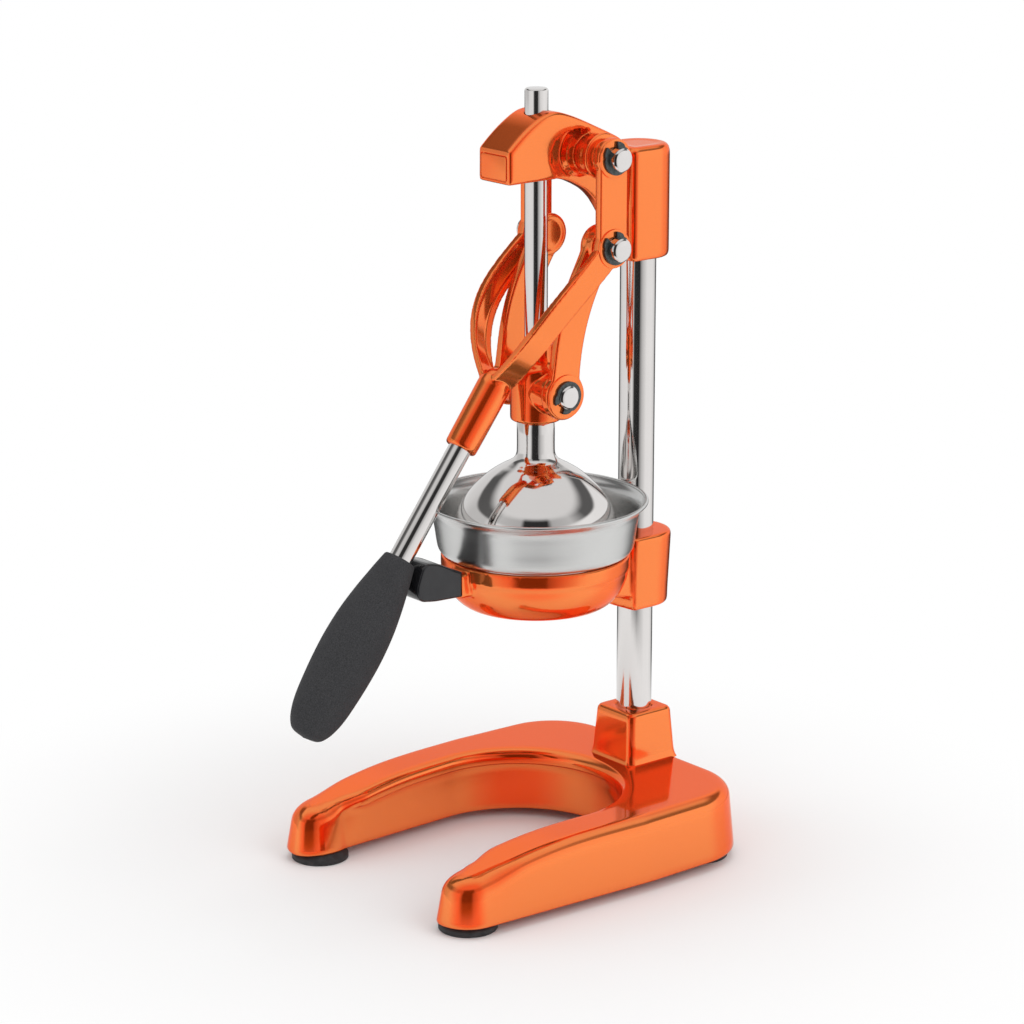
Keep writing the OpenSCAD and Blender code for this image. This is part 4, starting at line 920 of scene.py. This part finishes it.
class PressFinish(bpy.types.PropertyGroup):
    """Colours and gloss of the finishes."""
    # The paler enamel colour is a painted sheen, laid where the lacquer is seen at a slant in
    # place of reflected light; the deep colour is where it faces the eye.
    enamel_painted_sheen: colour("Enamel, light", "Lighter colour of the metallic lacquer",
                         (1.0, 0.25, 0.06))
    enamel_deep: colour("Enamel, deep", "Deeper colour of the metallic lacquer",
                        (1.0, 0.085, 0.008))
    enamel_gloss: bpy.props.FloatProperty(
        name="Enamel roughness", description="Mean roughness of the lacquer", default=0.12,
        min=0.02, max=0.6, subtype="FACTOR")
    chrome: colour("Chrome", "Colour of the plated rods and the bell", (0.78, 0.755, 0.74))
    steel: colour("Sheet steel", "Colour of the bowl and the strainer", (0.66, 0.66, 0.65))
    grip_dark: colour("Grip, dark", "Darker colour of the grip's grain", (0.022, 0.022, 0.024))
    grip_light: colour("Grip, light", "Lighter colour of the grip's grain", (0.05, 0.05, 0.053))


class PressShape(bpy.types.PropertyGroup):
    """Fineness of the cast pieces."""
    head_step: bpy.props.FloatProperty(
        name="Head step", description="Cell size of the head's skin", default=0.0008,
        min=0.0004, max=0.003, unit="LENGTH", precision=4)
    arm_step: bpy.props.FloatProperty(
        name="Cup arm step", description="Cell size of the cup arm's skin", default=0.0009,
        min=0.0005, max=0.003, unit="LENGTH", precision=4)
    lever_step: bpy.props.FloatProperty(
        name="Lever step", description="Cell size of the skins of the fork, links and hub",
        default=0.0006, min=0.0004, max=0.003, unit="LENGTH", precision=4)


class PressStage(bpy.types.PropertyGroup):
    """Camera and light."""
    camera_place: bpy.props.FloatVectorProperty(
        name="Camera place", description="Place of the camera from the plunger's axis",
        default=(1.5606, -1.2795, 0.7721), subtype="XYZ", unit="LENGTH", size=3)
    camera_target: bpy.props.FloatVectorProperty(
        name="Camera target", description="Point it looks at, from the plunger's axis",
        default=(-0.00899, -0.01112, 0.2169), subtype="XYZ", unit="LENGTH", size=3)
    lens: bpy.props.FloatProperty(
        name="Lens", description="Focal length in millimetres on a sensor 36 mm wide",
        default=121.87, min=20, max=300)
    key: bpy.props.FloatProperty(
        name="Key light", description="Power of the large light on the right in watts",
        default=18.0, min=0, max=500, unit="POWER")
    room: bpy.props.FloatProperty(
        name="Room light", description="Strength of the even light of the room",
        default=0.75, min=0, max=3, subtype="FACTOR")


# Operators

class PRESS_OT_base(bpy.types.Operator):
    """Base casting with its pedestal, the four feet and their screws"""
    bl_idname = "press.base"
    bl_label = "Base"

    def execute(self, context):
        hollow = turn([(5.05, 22), (17, 22), (17, FOOT_H), (20, FOOT_H), (20, 42), (11.05, 42),
                       (11.05, 30), (5.05, 30)], 96, loop=True)
        post = turn([(0, FOOT_H + 0.02), (8.4, FOOT_H + 0.02), (9, 6.6), (9, 30), (0, 30)], 64)
        posts = [moved(post, x, y) for x, y in ((-TOE_X, TOE_Y), (TOE_X, TOE_Y),
                                                (-HEEL_X, HEEL_Y), (HEEL_X, HEEL_Y))]
        part = fused(base_part(), pedestal_part(), moved(hollow, y=COLUMN_Y), *posts)
        crisp("base", part, "stand", "orange_enamel", ["base_casting"], 50)
        for node in ("foot_front_left", "foot_front_right", "foot_rear_left", "foot_rear_right"):
            x, y = middle(node)[:2]
            crisp(node.replace("foot", "rubber_foot"), foot_part(x, y), "stand", "foot_rubber",
                  [node])
        dress("foot_screws", "column_bolt", "column_washer", slot="zinc_steel")
        return {"FINISHED"}


class PRESS_OT_column(bpy.types.Operator):
    """Plated column"""
    bl_idname = "press.column"
    bl_label = "Column"

    def execute(self, context):
        low, high = span("column_rod")
        part = moved(rod_part(COLUMN_R, low[2], high[2], 0.8), y=COLUMN_Y)
        crisp("column", part, "stand", "chrome_plate", ["column_rod"])
        return {"FINISHED"}


class PRESS_OT_cup_arm(bpy.types.Operator):
    """Cup arm with its bumper and set screws"""
    bl_idname = "press.cup_arm"
    bl_label = "Cup arm"

    def execute(self, context):
        cuts = [bore_z(COLUMN_R + BORE_GAP, COLUMN_Y, 140, 200)]
        cast("cup_arm_casting", cup_arm_part(), cuts, "stand", "orange_enamel", ["cup_arm"],
             context.scene.press_shape.arm_step, 14)
        crisp("bumper", bumper_part(), "stand", "bumper_plastic", ["bumper_block"])
        dress("cup_arm_set_screws", "head_set_screws", slot="dark_steel")
        return {"FINISHED"}


class PRESS_OT_bowl(bpy.types.Operator):
    """Juice bowl with its rolled rim, and the strainer in it"""
    bl_idname = "press.bowl"
    bl_label = "Bowl and strainer"

    def execute(self, context):
        crisp("bowl", bowl_part(), "stand", "sheet_steel", ["juice_bowl"], 40)
        dress("strainer_cone", slot="sheet_steel")
        return {"FINISHED"}


class PRESS_OT_head(bpy.types.Operator):
    """Head casting with its blank nose plate and guide bushes"""
    bl_idname = "press.head"
    bl_label = "Head"

    def execute(self, context):
        recess = slab(rounded_rectangle(24.6, 15.6, 2.2) + (0, PLATE_Z), -0.8, 4, 0.1)
        cuts = [bore_z(7.4, 0, 410, 470), bore_z(COLUMN_R + BORE_GAP, COLUMN_Y, 350, 428),
                bore_x(PIN_R + BORE_GAP, PIVOT_Y, PIVOT_Z, -20, 20),
                facing_front(recess, NOSE_Y)]
        cast("head", head_part(), cuts, "stand", "orange_enamel", ["head_casting"],
             context.scene.press_shape.head_step, 14)
        plate = slab(rounded_rectangle(23.2, 14.2, 1.8) + (0, PLATE_Z), -0.75, 0.35, 0.3)
        crisp("plate", facing_front(plate, NOSE_Y), "stand", "orange_enamel", ["nose_plate"])
        dress("guide_bush_upper", "guide_bush_lower", slot="bearing_bronze")
        return {"FINISHED"}


class PRESS_OT_pivot(bpy.types.Operator):
    """Upper pin with its snap rings, ridged distance pieces and washers"""
    bl_idname = "press.pivot"
    bl_label = "Upper pivot"

    def execute(self, context):
        pins_and_rings(("upper_pin_plated", "upper_snap_rings"), ("upper_pin", "upper_pin_rings"),
                       "stand", (0, 1, PIN_END), FORK_GROOVE, 112, PIVOT_Y, PIVOT_Z)
        for name, part, node in (("spacers", spacer_part(), "pivot_spacers"),
                                 ("washers", washer_part(), "pivot_washers")):
            crisp(name, mirrored(part), "stand", "orange_enamel", [node], 50)
        return {"FINISHED"}


class PRESS_OT_lever(bpy.types.Operator):
    """Lever: fork, rod, grip, middle pins and their snap rings"""
    bl_idname = "press.lever"
    bl_label = "Lever"

    def execute(self, context):
        bores = [bore_x(PIN_R + BORE_GAP, PIVOT_Y, PIVOT_Z), bore_x(PIN_R, PIVOT_Y, MIDDLE_Z)]
        cast("fork", fork_part(), bores, "lever", "orange_enamel", ["lever_fork"],
             context.scene.press_shape.lever_step, 12)
        faces = [eye_face(11.7, 37, 38.5, PIVOT_Y, z) for z in (MIDDLE_Z, PIVOT_Z)]
        crisp("fork_eyes", mirrored(fused(*faces)), "lever", "orange_enamel")
        rod = down_lever(rod_part(ROD_R, 102, 318, 0.5))
        crisp("rod_of_lever", rod, "lever", "chrome_plate", ["lever_rod"])
        crisp("grip", grip_part(), "lever", "grip_rubber", ["lever_grip"])
        pins_and_rings(("middle_pins_plated", "middle_snap_rings"),
                       ("middle_pins", "middle_pin_rings"), "lever", (22.9, 24, PIN_END),
                       FORK_GROOVE, 112, PIVOT_Y, MIDDLE_Z)
        return {"FINISHED"}


class PRESS_OT_links(bpy.types.Operator):
    """Two links with the outer ends of the lower pin and their snap rings"""
    bl_idname = "press.links"
    bl_label = "Links"

    def execute(self, context):
        blind = bore_x(PIN_R + BORE_GAP, PIVOT_Y, MIDDLE_Z, 22.6, 60)
        bores = [mirrored(blind), bore_x(PIN_R, 0, LOWER_Z)]
        for side, part in (("right", link_part()), ("left", image(link_part()))):
            cast("link_on_" + side, part, bores, "links", "orange_enamel", ["link_" + side],
                 context.scene.press_shape.lever_step, 10)
        face = eye_face(13.2, 27.5, 29, 0, LOWER_Z)
        crisp("link_eyes", mirrored(face), "links", "orange_enamel")
        pins_and_rings(("lower_pin_plated", "lower_snap_rings"),
                       ("lower_pin_ends", "lower_pin_rings"), "links", (22, 22.5, LOWER_PIN_END),
                       LINK_GROOVE, 222, 0, LOWER_Z)
        return {"FINISHED"}


class PRESS_OT_plunger(bpy.types.Operator):
    """Plunger: rod, hub and press bell"""
    bl_idname = "press.plunger"
    bl_label = "Plunger"

    def execute(self, context):
        cuts = [bore_z(ROD_R, 0, 260, 330), mirrored(bore_x(PIN_R, 0, LOWER_Z, 8.5, 30))]
        cast("hub", hub_part(), cuts, "plunger", "orange_enamel", ["plunger_hub"],
             context.scene.press_shape.lever_step, 12)
        low, high = span("plunger_rod")
        crisp("rod_of_plunger", rod_part(ROD_R, low[2], high[2], 1.5), "plunger", "chrome_plate",
              ["plunger_rod"])
        crisp("bell", bell_part(), "plunger", "chrome_plate", ["press_bell"], 50)
        dress("hub_pins", slot="chrome_plate")
        dress("hub_set_screw", slot="dark_steel")
        return {"FINISHED"}


class PRESS_OT_stage(bpy.types.Operator):
    """Camera, floor and studio light"""
    bl_idname = "press.stage"
    bl_label = "Studio"

    def execute(self, context):
        stage = context.scene.press_stage
        shift = Vector((0, AXIS_Y * MM, 0))
        data = bpy.data.cameras.new("camera")
        data.lens = stage.lens
        data.sensor_width = 36
        data.clip_end = 50
        context.scene.camera = self.aimed("camera", data, Vector(stage.camera_place) + shift,
                                          Vector(stage.camera_target) + shift)
        self.floor()
        self.room(context, stage)
        self.lamp("key", (2.2, 0.2, 1.5), (0, 0, 0.2), 1.8, stage.key)
        self.lamp("fill", (-1.6, -1.8, 1.3), (0, 0, 0.2), 1.6, stage.key * 0.45)
        self.lamp("top", (0.0, 0.2, 2.6), (0, 0, 0), 2.0, stage.key * 0.7)
        context.scene.view_settings.view_transform = "Standard"
        return {"FINISHED"}

    def aimed(self, name, data, place, target):
        """Camera or lamp at a place, turned to its target."""
        obj = add_object(name, data)
        obj.location = place
        obj.rotation_euler = (Vector(target) - Vector(place)).to_track_quat("-Z", "Y").to_euler()
        return obj

    def lamp(self, name, place, target, size, power):
        """Large soft square panel that metal doesn't mirror."""
        data = bpy.data.lights.new(name, "AREA")
        data.shape = "RECTANGLE"
        data.size, data.size_y, data.energy = size, size, power
        self.aimed(name, data, place, target).visible_glossy = False

    def step(self, tree, value, start, end):
        """Smooth step from 0 to 1 as a value goes from start to end."""
        return add_node(tree, "MapRange", {"Value": value, "From Min": start, "From Max": end},
                        interpolation_type="SMOOTHSTEP").outputs["Result"]

    def mixed(self, tree, share, first, second):
        """First shader or colour where the share is 0, second where it is 1."""
        if isinstance(first, bpy.types.NodeSocketShader):
            return add_node(tree, "MixShader", {0: share, 1: first, 2: second}).outputs[0]
        return add_node(tree, "Mix", {0: share, 6: first, 7: second}, data_type="RGBA").outputs[2]

    def floor(self):
        """Pale disc that fades into the white room away from the press."""
        disc = turn([(0, 0), (400, 0), (900, 0), (3000, 0)], 96)
        floor = add_object("floor", raw_mesh("floor", moved(disc, y=-AXIS_Y)))
        material = bpy.data.materials.new("floor_paper")
        material.use_nodes = True
        tree = material.node_tree
        paper = tree.nodes["Principled BSDF"]
        paper.inputs["Roughness"].default_value = 0.9
        # Painted shade in reflections: metal sees the paper a darker grey than the camera does.
        mirrored_ray = add_node(tree, "LightPath").outputs["Is Glossy Ray"]
        grey = self.mixed(tree, mirrored_ray, (0.9, 0.9, 0.9, 1), (0.85, 0.85, 0.85, 1))
        tree.links.new(grey, paper.inputs["Base Color"])
        place = add_node(tree, "TexCoord").outputs["Object"]
        far = add_node(tree, "VectorMath", {0: place}, operation="LENGTH").outputs["Value"]
        faded = self.mixed(tree, self.step(tree, far, 0.16, 0.42), paper.outputs[0],
                           add_node(tree, "Emission").outputs[0])
        unseen = add_node(tree, "Math", {0: self.step(tree, far, 0.3, 0.5), 1: mirrored_ray},
                          operation="MULTIPLY").outputs[0]
        end = self.mixed(tree, unseen, faded, add_node(tree, "BsdfTransparent").outputs[0])
        tree.links.new(end, tree.nodes["Material Output"].inputs["Surface"])
        floor.data.materials.append(material)

    def room(self, context, stage):
        """White room for the camera. Metal sees it with its dark gaps between the light panels,
        by the direction round the press and the height above the horizon."""
        world = bpy.data.worlds.new("room")
        context.scene.world = world
        world.use_nodes = True
        tree = world.node_tree
        tree.nodes.clear()
        split = add_node(tree, "SeparateXYZ", {0: add_node(tree, "TexCoord").outputs["Generated"]})
        height = split.outputs["Z"]
        angle = add_node(tree, "Math", {0: split.outputs["Y"], 1: split.outputs["X"]},
                         operation="ARCTAN2").outputs[0]
        share = add_node(tree, "MapRange", {"Value": angle, "From Min": -math.pi,
                                            "From Max": math.pi}).outputs["Result"]

        def band(*stops):
            """Grey levels round the press, by the direction in degrees from +X towards +Y."""
            return grey_ramp(tree, share, [((turned + 180) / 360, light)
                                           for turned, light in stops])

        wall = band((-180, 0.75), (-160, 0.62), (-125, 0.6), (-110, 0.85), (-74, 0.9),
                    (-66, 0.5), (-60, 0.03), (-26, 0.02), (-20, 0.4), (0, 0.85), (40, 1.0),
                    (90, 0.95), (141, 0.82), (180, 0.75))
        table = band((-180, 0.3), (-172, 0.7), (-150, 0.85), (-110, 0.9), (-72, 0.85),
                     (-66, 0.5), (-60, 0.03), (-28, 0.02), (-22, 0.3), (-8, 0.62), (20, 0.95),
                     (60, 0.98), (85, 0.85), (98, 0.4), (108, 0.06), (172, 0.06), (180, 0.3))
        gap = band((-180, 0.1), (-120, 0.12), (-100, 0.6), (-64, 0.5), (-58, 0.03), (-20, 0.03),
                   (-12, 0.5), (20, 0.6), (50, 0.12), (106, 0.12), (122, 0.9), (160, 0.9),
                   (174, 0.12), (180, 0.1))
        low = self.mixed(tree, self.step(tree, height, -0.17, -0.05), table, wall)
        high = self.mixed(tree, self.step(tree, height, 0.4, 0.48), low, gap)
        sky = self.mixed(tree, self.step(tree, height, 0.62, 0.78), high, (0.8, 0.8, 0.8, 1))

        def light(colour, strength=1.0):
            """Light of the room."""
            return add_node(tree, "Background", {"Color": colour,
                                                 "Strength": strength}).outputs[0]

        white, rays = (1, 1, 1, 1), add_node(tree, "LightPath").outputs
        lit = self.mixed(tree, rays["Is Glossy Ray"], light(white, stage.room), light(sky))
        seen = self.mixed(tree, rays["Is Camera Ray"], lit, light(white))
        add_node(tree, "OutputWorld", {"Surface": seen})


PIECES = ("base", "column", "cup_arm", "bowl", "head", "pivot", "lever", "links", "plunger",
          "stage")


class PRESS_PT_panel(bpy.types.Panel):
    """Settings and pieces of the press"""
    bl_label = "Citrus press"
    bl_idname = "PRESS_PT_panel"
    bl_space_type = "VIEW_3D"
    bl_region_type = "UI"
    bl_category = "Press"

    def draw(self, context):
        """Boxes of settings, and one button for each piece."""
        layout = self.layout
        for name in ("press_finish", "press_shape", "press_stage"):
            group = getattr(context.scene, name)
            box = layout.box()
            for key in group.__annotations__:
                box.prop(group, key)
        for name in PIECES:
            layout.operator("press." + name)


GROUPS = (("press_finish", PressFinish), ("press_shape", PressShape), ("press_stage", PressStage))
OPERATORS = (PRESS_OT_base, PRESS_OT_column, PRESS_OT_cup_arm, PRESS_OT_bowl, PRESS_OT_head,
             PRESS_OT_pivot, PRESS_OT_lever, PRESS_OT_links, PRESS_OT_plunger, PRESS_OT_stage)


def register():
    """Classes and settings are made known to Blender."""
    for name, group in GROUPS:
        bpy.utils.register_class(group)
        setattr(bpy.types.Scene, name, bpy.props.PointerProperty(type=group))
    for operator in OPERATORS:
        bpy.utils.register_class(operator)
    bpy.utils.register_class(PRESS_PT_panel)


def unregister():
    """The reverse of register."""
    bpy.utils.unregister_class(PRESS_PT_panel)
    for operator in reversed(OPERATORS):
        bpy.utils.unregister_class(operator)
    for name, group in reversed(GROUPS):
        delattr(bpy.types.Scene, name)
        bpy.utils.unregister_class(group)


def main():
    """Makes the pieces and the studio in order."""
    register()
    for name in PIECES:
        getattr(bpy.ops.press, name)()


if __name__ == "__main__":
    main()
